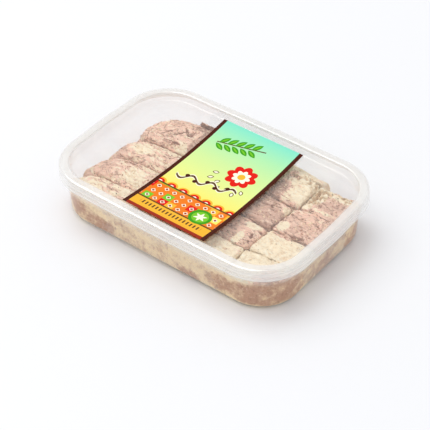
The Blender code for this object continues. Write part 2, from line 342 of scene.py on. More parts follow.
class Surface:
    """A material with one Principled shader, dressed through a graph."""

    def __init__(self, name: str, **fixed: Union[float, Colour]) -> None:
        """Makes the material.

        Args:
            name: The material's name.
            **fixed: Values that are the same all over, by socket name with _ for a space.
        """
        self.material = bpy.data.materials.new(name)
        self.material.use_nodes = True
        self.graph = Graph(self.material.node_tree)
        self.shader = self.material.node_tree.nodes["Principled BSDF"]
        for key, value in fixed.items():
            socket = self.shader.inputs[key.replace("_", " ")]
            socket.default_value = (*value, 1.0) if socket.type == "RGBA" else value

    def drive(self, socket: str, wire: Wire) -> None:
        """Feeds one of the shader's sockets with what changes over the surface."""
        self.graph.tree.links.new(wire.socket, self.shader.inputs[socket])

    def relief(self, height: Value, depth: float, strength: float = 1.0) -> None:
        """Feeds the shader's normal with a bump.

        Args:
            height: The relief, from 0 to 1.
            depth: What 1 stands for, in metres.
            strength: How much of it shows.
        """
        sockets = {"Height": height, "Distance": depth, "Strength": strength}
        self.drive("Normal", self.graph.add("ShaderNodeBump", {}, sockets))


# ---------------------------------------------------------------------------------------------- finishes


@dataclass(frozen=True)
class ClearPlastic:
    """Thin clear plastic: a mirror that grows towards its edges, over a milky haze.

    Each point keeps its own haze and sheen, the share that mirrors whichever way it is seen.
    """

    name: str
    tint: Colour = shade(253, 252, 250)
    mirror: float = 0.05
    smudge: float = 0.02
    roughness: float = 0.10

    def make(self) -> bpy.types.Material:
        """The finished material.

        Returns:
            The material.
        """
        surface = Surface(self.name, Base_Color=self.tint, IOR=1.49)
        graph = surface.graph
        place = graph.place()
        flow = graph.noise(place * (1.0, 1.0, 2.5), 9 * MM, 3.0)
        haze = (graph.attribute("haze") + (flow - 0.5) * self.smudge * 2).most(0.0).least(1.0)
        facing = graph.add("ShaderNodeLayerWeight", {}, {"Blend": 0.5}, "Facing")
        sheen = graph.attribute("sheen") + self.mirror
        mirror = (sheen + (1 - sheen) * facing**5) * (1 - haze)
        cover = haze + mirror
        surface.drive("Alpha", cover.least(1.0))
        surface.drive("Metallic", mirror / cover.most(0.001))
        surface.drive("Roughness", self.roughness + flow * 0.08)
        wave = graph.noise(place, 14 * MM, 1.0)
        surface.relief(wave, 0.15 * MM, 0.5)
        return surface.material


@dataclass(frozen=True)
class HalvaFinish:
    """Pulled halva: cream and cocoa marbled in swirls, with pale wisps, fine creases and a dry crumb;
    creases, veins and hollows are darkened with painted shade.

    Where it is pressed to the tub's wall, it is smeared and blotched instead.
    """

    name: str
    cream: Colour = shade(255, 239, 208)
    cocoa: Colour = shade(249, 206, 183)
    dark_cocoa: Colour = shade(188, 148, 129)
    cream_wisp: Colour = shade(255, 248, 226)
    cocoa_wisp: Colour = shade(255, 227, 204)
    # Shaded copies of cream and cocoa, for the painted shade in creases and hollows.
    cream_painted_shade: Colour = shade(222, 178, 134)
    cocoa_painted_shade: Colour = shade(152, 108, 88)
    cream_wall: Colour = shade(255, 230, 187)
    cocoa_wall: Colour = shade(198, 150, 120)
    wall_speck: Colour = shade(158, 106, 74)
    wall_fleck: Colour = shade(240, 212, 184)
    wall_pale: Colour = shade(255, 240, 216)
    swirl: float = 13 * MM
    twist: float = 15 * MM
    rag: float = 2.0
    streak_size: float = 2.6 * MM
    wisp_size: float = 1.5 * MM
    wisp_strength: float = 0.85
    vein_size: float = 3.6 * MM
    vein_fineness: float = 11
    crumb_size: float = 0.8 * MM
    relief: float = 0.5 * MM
    blot_size: float = 6.5 * MM
    blotch: float = 2.4
    mottle_size: float = 2.4 * MM
    mottling: float = 1.6
    speck_size: float = 2.8 * MM
    fleck_size: float = 2.0 * MM
    fleck_strength: float = 0.45
    pale_from: float = 17.5 * MM
    pale_to: float = 25 * MM

    def make(self) -> bpy.types.Material:
        """The finished material.

        Returns:
            The material.
        """
        surface = Surface(self.name, Roughness=0.78, Specular_IOR_Level=0.25)
        graph = surface.graph
        place = graph.place()
        cocoa, hollow, pressed = (graph.attribute(name) for name in ("cocoa", "hollow", "pressed"))
        strand = graph.drift(place, self.swirl, self.twist) * (0.28, 1.0, 1.0)
        streak = graph.noise(strand, self.streak_size, 4.0, 0.62)
        share = (cocoa + (streak - 0.5) * self.rag).ease(0.38, 0.62)
        browned = graph.mix(cocoa.ease(0.7, 1.2), self.cocoa, self.dark_cocoa)
        tone = graph.mix(share, self.cream, browned)
        wisp = graph.noise(strand + (0.3, 0.1, 0.2), self.wisp_size, 3.0, 0.6)
        wisp_tone = graph.mix(share, self.cream_wisp, self.cocoa_wisp)
        tone = graph.mix(wisp.ease(0.50, 0.68) * self.wisp_strength, tone, wisp_tone)
        vein = graph.noise(strand + (0.7, 0.5, 0.4), self.vein_size, 3.0, 0.6)
        vein = (1 - abs(vein * 2 - 1)) ** self.vein_fineness
        crumb = graph.noise(place, self.crumb_size, 3.0, 0.7)
        # Painted shade: creases, veins, crumb and hollows are darkened towards the shaded copies of cream and
        # cocoa.
        depth = (hollow + vein * 0.5 + (crumb - 0.5) * 0.4).ease(0.28, 1.02) * (0.5 + share * 0.5)
        tone = graph.mix(depth, tone, graph.mix(share, self.cream_painted_shade, self.cocoa_painted_shade))
        tone = graph.mix(pressed.ease(0.3, 0.9), tone, self.smear(graph, place, cocoa))
        surface.drive("Base Color", tone)
        surface.relief(wisp * 0.5 - vein * 0.7 + crumb * 0.6 + 0.5, self.relief, 0.7)
        return surface.material

    def smear(self, graph: Graph, place: Triple, cocoa: Value) -> Triple:
        """The blotched colour of what is pressed flat to the wall, painted paler towards the top in place of
        the milky veil of the tub's upper wall.

        Args:
            graph: The finish's graph.
            place: The point's place in the pack.
            cocoa: How much cocoa there is.

        Returns:
            The colour.
        """
        blot = graph.noise(place * (0.7, 0.7, 1.0), self.blot_size, 5.0, 0.66)
        mottle = graph.noise(place * (1.0, 1.0, 0.6) + (0.2, 0.2, 0.2), self.mottle_size, 5.0, 0.7)
        patchy = (blot - 0.5) * self.blotch + (mottle - 0.5) * self.mottling
        share = (cocoa + patchy - 0.1).ease(0.0, 1.0)
        tone = graph.mix(share, self.cream_wall, self.cocoa_wall)
        speck = graph.noise(place + (0.5, 0.1, 0.7), self.speck_size, 4.0, 0.7).ease(0.53, 0.72)
        tone = graph.mix(speck * (0.25 + share * 0.65), tone, self.wall_speck)
        fleck = graph.noise(place + (0.1, 0.9, 0.3), self.fleck_size, 3.0, 0.65).ease(0.56, 0.70)
        tone = graph.mix(fleck * self.fleck_strength, tone, self.wall_fleck)
        # Paler towards the top, less so on cocoa: it stands in for the milky veil of the tub's upper wall.
        height = place.parts()[2] + (blot - 0.5) * 10 * MM
        pale = height.ease(self.pale_from, self.pale_to) * (0.85 - cocoa.ease(0.75, 1.0) * 0.75)
        return graph.mix(pale, tone, self.wall_pale)


@dataclass(frozen=True)
class CrumbFinish:
    """Loose flakes and specks of one colour, mottled from one to the next."""

    name: str
    colour: Colour
    dark: Colour

    def make(self) -> bpy.types.Material:
        """The finished material.

        Returns:
            The material.
        """
        surface = Surface(self.name, Roughness=0.8, Specular_IOR_Level=0.3)
        graph = surface.graph
        mottle = graph.noise(graph.place(), 1.2 * MM, 2.0)
        surface.drive("Base Color", graph.mix(mottle.ease(0.35, 0.65), self.dark, self.colour))
        return surface.material


# ------------------------------------------------------------------------------------------ pack's outline


@dataclass(frozen=True)
class PackPlan:
    """The rounded outline that both mouldings follow, drawn in by an inset from the lid's outer edge."""

    length: float
    width: float
    height: float
    corner: float = 32.3 * MM
    end_bow: float = 0.8 * MM
    side_bow: float = 0.6 * MM
    corner_steps: int = 22
    side_steps: int = 20

    @classmethod
    def from_frame(cls) -> PackPlan:
        """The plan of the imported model."""
        low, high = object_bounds()
        return cls(high[0] - low[0], high[1] - low[1], high[2])

    def half_sides(self, inset: float) -> tuple[float, float]:
        """Half the length and half the width where the sides meet the corners."""
        return self.length / 2 - self.end_bow - inset, self.width / 2 - self.side_bow - inset

    def outline(self, inset: float) -> np.ndarray:
        """The outline, anticlockwise from the front right corner.

        Args:
            inset: How far it lies inside the lid's outer edge.

        Returns:
            Points as rows of x and y.
        """
        half_x, half_y = self.half_sides(inset)
        radius = self.corner - inset
        corners = []
        for index, (sign_x, sign_y) in enumerate(((1, -1), (1, 1), (-1, 1), (-1, -1))):
            angles = math.pi / 2 * (index - 1 + np.linspace(0, 1, self.corner_steps + 1))
            middle = np.array([sign_x * (half_x - radius), sign_y * (half_y - radius)])
            corners.append(middle + radius * np.column_stack([np.cos(angles), np.sin(angles)]))
        points = []
        for index, corner in enumerate(corners):
            start, end = corner[-1], corners[(index + 1) % 4][0]
            along = end - start
            outward = np.array([along[1], -along[0]]) / np.linalg.norm(along)
            share = np.linspace(0, 1, self.side_steps + 1)[1:-1, None]
            bow = self.end_bow if index % 2 == 0 else self.side_bow
            swell = 0.5 - 0.5 * np.cos(2 * math.pi * share)
            points += [corner, start + along * share + outward * bow * swell]
        return np.vstack(points)


Section = list[tuple[float, float]]
Look = tuple[float, float]
Stops = Sequence[tuple[float, Colour]]


def fillet(centre: tuple[float, float], radius: float, first: float, last: float, steps: int = 8) -> Section:
    """Points of a round stretch of a section.

    Args:
        centre: Its centre as inset and height.
        radius: Its radius.
        first: Where it starts, in degrees.
        last: Where it ends, in degrees.
        steps: How many pieces it is cut into.

    Returns:
        The points, both ends among them.
    """
    angles = np.radians(np.linspace(first, last, steps + 1))
    return [(centre[0] + radius * math.cos(a), centre[1] + radius * math.sin(a)) for a in angles]


def run(start: tuple[float, float], end: tuple[float, float], steps: int) -> Section:
    """Points of a straight stretch of a section, without its ends."""
    shares = [step / steps for step in range(1, steps)]
    return [tuple(a + (b - a) * share for a, b in zip(start, end)) for share in shares]


def offset(section: Section, distance: float) -> Section:
    """The same open section moved sideways by one thickness, with mitred corners.

    Args:
        section: The section.
        distance: The thickness, to the left of its run where above 0.

    Returns:
        The moved section.
    """
    points = np.array(section)
    along = np.diff(points, axis=0)
    along /= np.linalg.norm(along, axis=1)[:, None]
    normals = np.column_stack([along[:, 1], -along[:, 0]])
    before = np.vstack([normals[:1], normals])
    after = np.vstack([normals, normals[-1:]])
    mitre = before + after
    mitre /= np.linalg.norm(mitre, axis=1)[:, None]
    reach = distance / np.sum(mitre * after, axis=1)
    return [tuple(point) for point in points + mitre * reach[:, None]]


class Moulding:
    """A thin moulding: one section run round the pack's outline, kept as rings of points."""

    def __init__(self, plan: PackPlan) -> None:
        """Starts an empty moulding.

        Args:
            plan: The outline that the rings follow.
        """
        self.plan = plan
        self.points: list[np.ndarray] = []
        self.looks: list[np.ndarray] = []

    def ring(self, inset: float, height: float | np.ndarray, look: Look, scale: float = 1.0) -> None:
        """Adds one ring.

        Args:
            inset: Its inset from the lid's edge.
            height: Its height, or the heights of its points.
            look: How milky and how glossy the plastic is there.
            scale: How far the ring is drawn in towards the pack's middle.
        """
        plan = self.plan.outline(inset) * scale
        heights = np.broadcast_to(height, (len(plan),))
        self.points.append(np.column_stack([plan, heights]))
        self.looks.append(np.tile(look, (len(plan), 1)))

    def mesh(self, name: str, first: float, last: float) -> bpy.types.Mesh:
        """The closed mesh of all rings, with a fan at each end.

        Args:
            name: The mesh's name.
            first: Height of the first fan's middle.
            last: Height of the last fan's middle.

        Returns:
            The mesh, with its haze and sheen at each point.
        """
        count = len(self.points[0])
        rings = len(self.points)
        vertices = np.vstack([*self.points, [[0, 0, first], [0, 0, last]]])
        here = np.arange(count)
        after = (here + 1) % count
        faces = []
        for index in range(rings - 1):
            low, high = index * count, (index + 1) * count
            faces += np.column_stack([low + here, low + after, high + after, high + here]).tolist()
        middle = rings * count
        top = (rings - 1) * count
        faces += np.column_stack([after, here, np.full(count, middle)]).tolist()
        faces += np.column_stack([top + here, top + after, np.full(count, middle + 1)]).tolist()
        made = bpy.data.meshes.new(name)
        made.from_pydata(vertices.tolist(), [], faces)
        looks = np.vstack([*self.looks, self.looks[0][:1], self.looks[-1][:1]])
        for index, key in enumerate(("haze", "sheen")):
            keep_number(made, key, looks[:, index])
        return made


def keep_number(mesh: bpy.types.Mesh, name: str, values: np.ndarray) -> None:
    """Keeps one number for each point in a mesh."""
    layer = mesh.attributes.new(name, "FLOAT", "POINT")
    layer.data.foreach_set("value", np.asarray(values, dtype=np.float32))


def smooth(mesh: bpy.types.Mesh, sharp_over: float) -> None:
    """Shades a mesh smooth but for the edges over an angle in degrees."""
    mesh.shade_smooth()
    mesh.set_sharp_from_angle(angle=math.radians(sharp_over))


def add_piece(name: str, mesh: bpy.types.Mesh, finish: bpy.types.Material | None = None) -> bpy.types.Object:
    """Puts a mesh into the scene as one object at the origin.

    Args:
        name: The object's name.
        mesh: Its mesh.
        finish: Its material, where the mesh has none.

    Returns:
        The object.
    """
    made = bpy.data.objects.new(name, mesh)
    if finish:
        mesh.materials.clear()
        mesh.materials.append(finish)
    bpy.context.scene.collection.objects.link(made)
    return made


def carry(piece: bpy.types.Object, slot: str, *nodes: str) -> None:
    """Lets a piece ride with the pack, in place of some nodes.

    Args:
        piece: The piece.
        slot: Not used.
        *nodes: The nodes that it stands for.
    """
    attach(piece, "root")
    if nodes:
        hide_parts(*nodes)
    stands_for = ", ".join(nodes) or "no node"
    LOG.info("%s: %d faces, stands for %s", piece.name, len(piece.data.polygons), stands_for)


# ------------------------------------------------------------------------------------------------- mouldings


@dataclass(frozen=True)
class Tub:
    """The clear tub: flat floor, filleted foot, stepped wall, flange and hanging lip."""

    plan: PackPlan
    sheet: float = 0.7 * MM
    fit: float = 0.3 * MM
    base_inset: float = 5.5 * MM
    base_fillet: float = 4.5 * MM
    shoulder: float = 20.0 * MM
    step: float = 1.0 * MM
    draft: float = 0.4 * MM
    flange_inset: float = 2.3 * MM
    lip_depth: float = 3.3 * MM
    turn: float = 1.0 * MM
    wall: Look = (0.04, 0.0)
    upper: Look = (0.10, 0.02)
    flange: Look = (0.08, 0.04)
    floor_rings: tuple[float, ...] = (0.3, 0.6, 0.85)

    def section(self) -> Section:
        """The outer face from the floor's edge up the wall to the end of the lip.

        Returns:
            The section, as insets and heights.
        """
        foot = fillet((self.base_inset + self.base_fillet, self.base_fillet), self.base_fillet, -90, -180)
        under = (self.base_inset - self.draft, self.shoulder - self.step)
        over = (under[0] - self.step, self.shoulder + self.step)
        flange_under = self.plan.height - 2 * self.sheet - self.fit
        wall_top = over[0] - self.draft
        root = fillet((wall_top - self.turn, flange_under - self.turn), self.turn, 0, 90, 5)
        lip = [(self.flange_inset, flange_under), (self.flange_inset, flange_under - self.lip_depth)]
        lower = run(foot[-1], under, 6)
        upper = run(over, root[0], 5)
        return [*foot, *lower, under, over, *upper, *root, *lip]

    def inner_inset(self, height: np.ndarray) -> np.ndarray:
        """Inset of the inner face at each height.

        Args:
            height: The heights.

        Returns:
            The insets.
        """
        inner = np.array(offset(self.section(), self.sheet))
        wall = inner[inner[:, 0] > self.base_inset - self.sheet - self.step - 2 * self.draft]
        return np.interp(height, wall[:, 1], wall[:, 0])

    def look_at(self, height: float) -> Look:
        """How milky and glossy the wall is at a height.

        Args:
            height: The height.

        Returns:
            Its haze and sheen.
        """
        heights = (self.shoulder - 2 * MM, self.shoulder + 6 * MM, self.plan.height - 6 * MM)
        kinds = zip(self.wall, self.upper, self.flange)
        return tuple(float(np.interp(height, heights, kind)) for kind in kinds)

    def build(self, finish: bpy.types.Material) -> bpy.types.Object:
        """The finished tub.

        Args:
            finish: The clear plastic.

        Returns:
            The piece.
        """
        outer = self.section()
        inner = offset(outer, self.sheet)
        moulding = Moulding(self.plan)
        for scale in self.floor_rings:
            moulding.ring(outer[0][0], 0.0, self.wall, scale)
        for inset, height in [*outer, *reversed(inner)]:
            moulding.ring(inset, height, self.look_at(height))
        for scale in reversed(self.floor_rings):
            moulding.ring(inner[0][0], inner[0][1], self.wall, scale)
        mesh = moulding.mesh("clear_tub", 0.0, inner[0][1])
        smooth(mesh, 40)
        piece = add_piece("clear_tub", mesh, finish)
        carry(piece, "clear_plastic", "tub")
        return piece


@dataclass(frozen=True)
class Lid:
    """The clear snap lid: hanging panel, recess wall, round rim and rippled skirt."""

    plan: PackPlan
    sheet: float = 0.7 * MM
    recess: float = 4.5 * MM
    sag: float = 4.0 * MM
    panel_inset: float = 9.6 * MM
    recess_foot: float = 1.2 * MM
    rim_inner: float = 6.3 * MM
    rim_edge: float = 1.3 * MM
    rim_edge_set: float = 0.9 * MM
    crown: float = 2.2 * MM
    skirt: float = 7.6 * MM
    flare: float = 0.4 * MM
    ripple: float = 0.30 * MM
    ripple_share: float = 0.82
    ripple_start: float = 0.37
    flare_bend: float = 1.45
    panel: Look = (0.02, 0.0)
    wall: Look = (0.06, 0.0)
    rim: Look = (0.36, 0.20)
    # The skirt's haze and sheen by drop from its top: besides the plastic's milkiness, the haze rises and
    # falls to paint light and dark lines, a painted highlight and painted shade of the ripples.
    skirt_painted_bands: tuple[tuple[float, float, float], ...] = (
        (0.0 * MM, 0.32, 0.20),
        (0.5 * MM, 0.18, 0.24),
        (1.6 * MM, 0.12, 0.20),
        (2.6 * MM, 0.28, 0.10),
        (3.6 * MM, 0.44, 0.04),
        (5.6 * MM, 0.16, 0.12),
        (7.0 * MM, 0.42, 0.02),
        (7.6 * MM, 0.30, 0.10),
    )
    panel_rings: int = 12

    def panel_height(self, x: np.ndarray, y: np.ndarray) -> np.ndarray:
        """Height of the hanging panel's upper face.

        Args:
            x: Places along the pack.
            y: Places across it.

        Returns:
            The heights.
        """
        half_x = self.plan.length / 2 - self.panel_inset
        half_y = self.plan.width / 2 - self.panel_inset
        hang = np.maximum(0.0, 1 - (x / half_x) ** 2) * np.maximum(0.0, 1 - (y / half_y) ** 2)
        return self.plan.height - self.recess - self.sag * hang

    def skirt_points(self) -> Section:
        """The skirt from under the crown to its foot, flared a little and crossed by two shallow ripples.

        Returns:
            The skirt's part of the section.
        """
        top = self.plan.height - self.crown
        drop = self.skirt - self.crown
        points = []
        for share in np.linspace(0.08, 1.0, 20):
            phase = 2 * math.pi * (share - self.ripple_start) / self.ripple_share
            groove = self.ripple * (0.5 - 0.5 * math.cos(phase))
            points.append((groove - self.flare * share**self.flare_bend, top - drop * share))
        return points

    def section(self) -> Section:
        """The outer face from the panel's edge over the rim to the skirt's foot.

        Returns:
            The section, as insets and heights.
        """
        height = self.plan.height
        panel = height - self.recess
        foot = fillet((self.panel_inset, panel + self.recess_foot), self.recess_foot, -90, -165, 5)
        edge_centre = (self.rim_inner - self.rim_edge_set, height - self.rim_edge)
        edge = fillet(edge_centre, self.rim_edge, 10, 90, 6)
        crown = fillet((self.crown, height - self.crown), self.crown, 90, 180, 10)
        top = run(edge[-1], crown[0], 4)
        return [*foot, *run(foot[-1], edge[0], 3), *edge, *top, *crown, *self.skirt_points()]

    def look_at(self, inset: float, height: float) -> Look:
        """How milky and glossy the lid is at a point of its section; on the skirt, bands of haze also paint
        light and dark lines.

        Args:
            inset: The point's inset.
            height: Its height.

        Returns:
            Its haze and sheen.
        """
        if inset >= self.panel_inset:
            return self.panel
        if inset > self.rim_inner:
            return self.wall
        if inset > self.crown:
            return self.rim
        drops, hazes, sheens = zip(*self.skirt_painted_bands)
        drop = self.plan.height - height
        return float(np.interp(drop, drops, hazes)), float(np.interp(drop, drops, sheens))

    def build(self, finish: bpy.types.Material) -> bpy.types.Object:
        """The finished lid.

        Args:
            finish: The clear plastic.

        Returns:
            The piece.
        """
        outer = self.section()
        inner = offset(outer, -self.sheet)
        moulding = Moulding(self.plan)
        scales = [step / self.panel_rings for step in range(1, self.panel_rings)]
        for scale in scales:
            x, y = (self.plan.outline(outer[0][0]) * scale).T
            moulding.ring(outer[0][0], self.panel_height(x, y), self.panel, scale)
        for inset, height in [*outer, *reversed(inner)]:
            moulding.ring(inset, height, self.look_at(inset, height))
        for scale in reversed(scales):
            x, y = (self.plan.outline(inner[0][0]) * scale).T
            moulding.ring(inner[0][0], self.panel_height(x, y) - self.sheet, self.panel, scale)
        middle = float(self.panel_height(np.zeros(1), np.zeros(1))[0])
        mesh = moulding.mesh("clear_lid", middle, middle - self.sheet)
        mesh.flip_normals()
        smooth(mesh, 40)
        piece = add_piece("clear_lid", mesh, finish)
        carry(piece, "clear_plastic", "lid")
        return piece


# ----------------------------------------------------------------------------------------------------- label


class Inks:
    """Colours of the label's print."""

    AQUA = shade(134, 230, 202)
    MINT = shade(176, 236, 176)
    LIME = shade(206, 238, 160)
    LEMON = shade(228, 240, 146)
    YELLOW = shade(250, 234, 104)
    MAROON = shade(74, 24, 6)
    RED = shade(226, 24, 10)
    ORANGE = shade(240, 126, 30)
    AMBER = shade(248, 184, 52)
    GREEN = shade(60, 158, 20)
    LEAF = shade(120, 200, 40)
    CREAM = shade(255, 250, 226)
    BRICK = shade(158, 44, 18)
    BARK = shade(96, 66, 30)


class Print:
    """Paints flat shapes over each other on the label, in millimetres from its middle."""

    def __init__(self, graph: Graph, middle: float, ground: Stops, length: float) -> None:
        """Lays the ground, which changes colour from front to back.

        Args:
            graph: The label's graph.
            middle: Where the label's middle lies along the pack, in metres.
            ground: The ground's stops, from front to back.
            length: The label's length in metres.
        """
        self.graph = graph
        x, y, _ = graph.place().parts()
        self.x = (x - middle) / MM
        self.y = y / MM
        share = self.y / (length / MM) + 0.5
        self.colour = graph.add("ShaderNodeValToRGB", {"stops": ground}, {0: share}, "Color")

    def paint(self, mask: Value, ink: Colour) -> None:
        """Lays one ink where a mask is 1."""
        self.colour = self.graph.mix(mask, self.colour, ink)

    def turned(self, x: float, y: float, angle: float) -> tuple[Value, Value]:
        """Coordinates about a point, turned by an angle in degrees.

        Args:
            x: The point's x.
            y: The point's y.
            angle: The turn, anticlockwise.

        Returns:
            The coordinates along and across the turned direction.
        """
        cos, sin = math.cos(math.radians(angle)), math.sin(math.radians(angle))
        across, along = self.x - x, self.y - y
        return across * cos + along * sin, along * cos - across * sin

    def radius(self, across: Value, along: Value) -> Value:
        """Distance from the middle of a pair of coordinates."""
        return (across * across + along * along) ** 0.5

    def disc(self, x: float, y: float, radius: float) -> Value:
        """A disc."""
        return self.radius(self.x - x, self.y - y).below(radius)

    def bar(self, x: float, y: float, half_width: float, half_height: float, angle: float = 0.0) -> Value:
        """A bar turned about its middle."""
        across, along = self.turned(x, y, angle)
        return abs(across).below(half_width) * abs(along).below(half_height)

    def leaf(self, x: float, y: float, length: float, width: float, angle: float) -> Value:
        """A pointed leaf about its middle.

        Args:
            x: Its middle's x.
            y: Its middle's y.
            length: From tip to tip.
            width: Its greatest width.
            angle: Its turn in degrees.

        Returns:
            The mask.
        """
        across, along = self.turned(x, y, angle)
        bend = width / 2 * (1 - (across / (length / 2)) ** 2)
        return abs(along).below(bend) * abs(across).below(length / 2)

    def rosette(self, x: float, y: float, radius: float, petals: int, cut: float) -> Value:
        """A flower of round petals, cut in between them by a share of its radius.

        Args:
            x: Its middle's x.
            y: Its middle's y.
            radius: Out to the petals' tips.
            petals: How many there are.
            cut: How deep it is cut between them.

        Returns:
            The mask.
        """
        across, along = self.x - x, self.y - y
        angle = self.graph.math("ARCTAN2", along, across)
        wave = abs(self.graph.math("COSINE", angle * (petals / 2)))
        return self.radius(across, along).below(radius * (1 - cut) + wave * (radius * cut))

    def wave(self, x: float, y: float, reach: float, height: float, pitch: float, angle: float) -> Value:
        """A scroll: the distance from a wavy line, which grows fast past the line's ends.

        Args:
            x: Its middle's x.
            y: Its middle's y.
            reach: Half its length.
            height: How far it swings to each side.
            pitch: The length of one wave.
            angle: Its turn in degrees.

        Returns:
            The distance.
        """
        across, along = self.turned(x, y, angle)
        bend = self.graph.math("SINE", across * (math.tau / pitch)) * height
        return abs(along - bend) + (abs(across) - reach).most(0.0) * 4

    def cells(self, size: float) -> Value:
        """Squares of a size, each with its own number from 0 to 1.

        Args:
            size: The squares' side.

        Returns:
            The number of the square that a point lies in.
        """
        column = self.graph.math("FLOOR", self.x / size + 0.5)
        row = self.graph.math("FLOOR", self.y / size + 0.5)
        place = self.graph.add("ShaderNodeCombineXYZ", {}, {"X": column, "Y": row})
        settings = {"noise_dimensions": "3D"}
        return self.graph.add("ShaderNodeTexWhiteNoise", settings, {"Vector": place}, "Value")

    def tiles(self, pitch: float, size: float) -> Value:
        """Rows of diamonds at a pitch.

        Args:
            pitch: From one diamond to the next.
            size: Half a diamond's width, as a share of the pitch.

        Returns:
            The mask.
        """
        column = self.graph.math("WRAP", self.x / pitch, 0.5, -0.5)
        row = self.graph.math("WRAP", self.y / pitch, 0.5, -0.5)
        return (abs(column) + abs(row)).below(size)


@dataclass(frozen=True)
class LabelFinish:
    """Glossy printed film: a sky-to-yellow ground with plain leaves, a flower and a tiled border."""

    name: str
    middle: float
    width: float
    length: float
    stripe: float = 2.7
    border_top: float = -20.0
    border_depth: float = 19.0
    sprig: tuple[float, float] = (-6.0, 37.0)
    sprig_turn: float = 14.0
    flower: tuple[float, float] = (11.0, 14.0)
    scroll: tuple[float, float] = (-3.0, -4.0)
    scroll_pitch: float = 14.0
    roundel: tuple[float, float] = (15.0, -33.0)
    patch: float = 6.0

    def ground(self) -> Stops:
        """Stops of the ground from front to back.

        Returns:
            The stops, along the label's length from 0 to 1.
        """
        return [
            (0.28, Inks.YELLOW),
            (0.50, Inks.LEMON),
            (0.68, Inks.LIME),
            (0.84, Inks.MINT),
            (1.00, Inks.AQUA),
        ]

    def make(self) -> bpy.types.Material:
        """The finished material.

        Returns:
            The material.
        """
        surface = Surface(self.name, Roughness=0.3, Specular_IOR_Level=0.1)
        graph = surface.graph
        sheet = Print(graph, self.middle, self.ground(), self.length)
        self.print_sprig(sheet)
        self.print_flower(sheet)
        self.print_scroll(sheet)
        self.print_border(sheet)
        edge = abs(sheet.x).below(self.width / MM / 2 - self.stripe)
        sheet.paint(1 - edge, Inks.MAROON)
        surface.drive("Base Color", sheet.colour)
        return surface.material

    def print_sprig(self, sheet: Print) -> None:
        """A sprig of leaf pairs that climbs across the back of the label.

        Args:
            sheet: The label's print.
        """
        x, y = self.sprig
        sheet.paint(sheet.bar(x, y, 17, 0.45, self.sprig_turn), Inks.BARK)
        for pair in range(5):
            along = -20 + pair * 7.0
            leaf_x, leaf_y = x + along * 0.97 * 0.8 + 3, y + along * 0.24 * 0.8
            for side in (-1, 1):
                for length, width, ink in ((8.5, 3.6, Inks.GREEN), (6.0, 1.2, Inks.LEAF)):
                    leaf = sheet.leaf(leaf_x, leaf_y + side * 3.4, length, width, self.sprig_turn + side * 42)
                    sheet.paint(leaf, ink)

    def print_flower(self, sheet: Print) -> None:
        """A red flower with a cream heart, and seeds that fall from it.

        Args:
            sheet: The label's print.
        """
        x, y = self.flower
        sheet.paint(sheet.rosette(x, y, 10.5, 8, 0.24), Inks.RED)
        sheet.paint(sheet.rosette(x, y, 6.2, 8, 0.3), Inks.CREAM)
        sheet.paint(sheet.disc(x, y, 2.6), Inks.AMBER)
        for index in range(7):
            angle = 200 + index * 17
            seed_x = x + (17 + 3 * (index % 2)) * math.cos(math.radians(angle))
            seed_y = y + (15 + 3 * (index % 2)) * math.sin(math.radians(angle))
            for length, width, ink in ((4.6, 2.8, Inks.BARK), (3.2, 1.6, Inks.CREAM)):
                sheet.paint(sheet.leaf(seed_x, seed_y, length, width, angle), ink)

    def print_scroll(self, sheet: Print) -> None:
        """A dark scroll with a pale edge across the middle, with berries in its bends.

        Args:
            sheet: The label's print.
        """
        x, y = self.scroll
        line = sheet.wave(x, y, 21, 2.6, self.scroll_pitch, 9)
        sheet.paint(line.below(1.7), Inks.CREAM)
        sheet.paint(line.below(0.9), Inks.BARK)
        for berry in range(5):
            bend = berry - 2
            berry_y = y + bend * 1.1 + (-1.6 if berry % 2 else 1.6)
            sheet.paint(sheet.disc(x + bend * self.scroll_pitch / 2, berry_y, 1.5), Inks.MAROON)

    def print_border(self, sheet: Print) -> None:
        """A quilt of warm patches across the front, over a band of ticks and under a scalloped edge.

        Args:
            sheet: The label's print.
        """
        top, foot = self.border_top, self.border_top - self.border_depth
        over = sheet.y.below(top)
        scallop = sheet.graph.math("WRAP", sheet.x / 9.0, 0.5, -0.5) * 9.0
        arch = sheet.radius(scallop, sheet.y - top)
        for radius, ink in ((4.4, Inks.AMBER), (3.2, Inks.RED), (1.5, Inks.CREAM)):
            sheet.paint(arch.below(radius), ink)
        sheet.paint(over, Inks.ORANGE)
        patch = sheet.cells(self.patch)
        for low, ink in ((0.50, Inks.AMBER), (0.62, Inks.RED), (0.74, Inks.YELLOW), (0.84, Inks.LEAF)):
            sheet.paint(over * (low - patch).below(0.0), ink)
        for size, ink in ((0.30, Inks.CREAM), (0.18, Inks.BRICK)):
            sheet.paint(over * sheet.tiles(self.patch, size), ink)
        sheet.paint(sheet.y.below(foot), Inks.AMBER)
        ticks = abs(sheet.graph.math("WRAP", sheet.x / 2.6, 0.5, -0.5)).below(0.22)
        sheet.paint(sheet.bar(0, foot - 4.2, 23, 1.6) * ticks, Inks.BARK)
        sheet.paint(sheet.y.below(foot - 9.0), Inks.BRICK)
        sheet.paint(sheet.y.below(foot - 12.0), Inks.ORANGE)
        for y in (top, foot):
            sheet.paint(sheet.bar(0, y, 31, 0.6), Inks.BARK)
        x, y = self.roundel
        sheet.paint(sheet.disc(x, y, 7.4), Inks.GREEN)
        sheet.paint(sheet.disc(x, y, 5.4), Inks.LEAF)
        for turn in range(3):
            sheet.paint(sheet.leaf(x, y, 9.0, 2.2, 30 + turn * 60), Inks.CREAM)


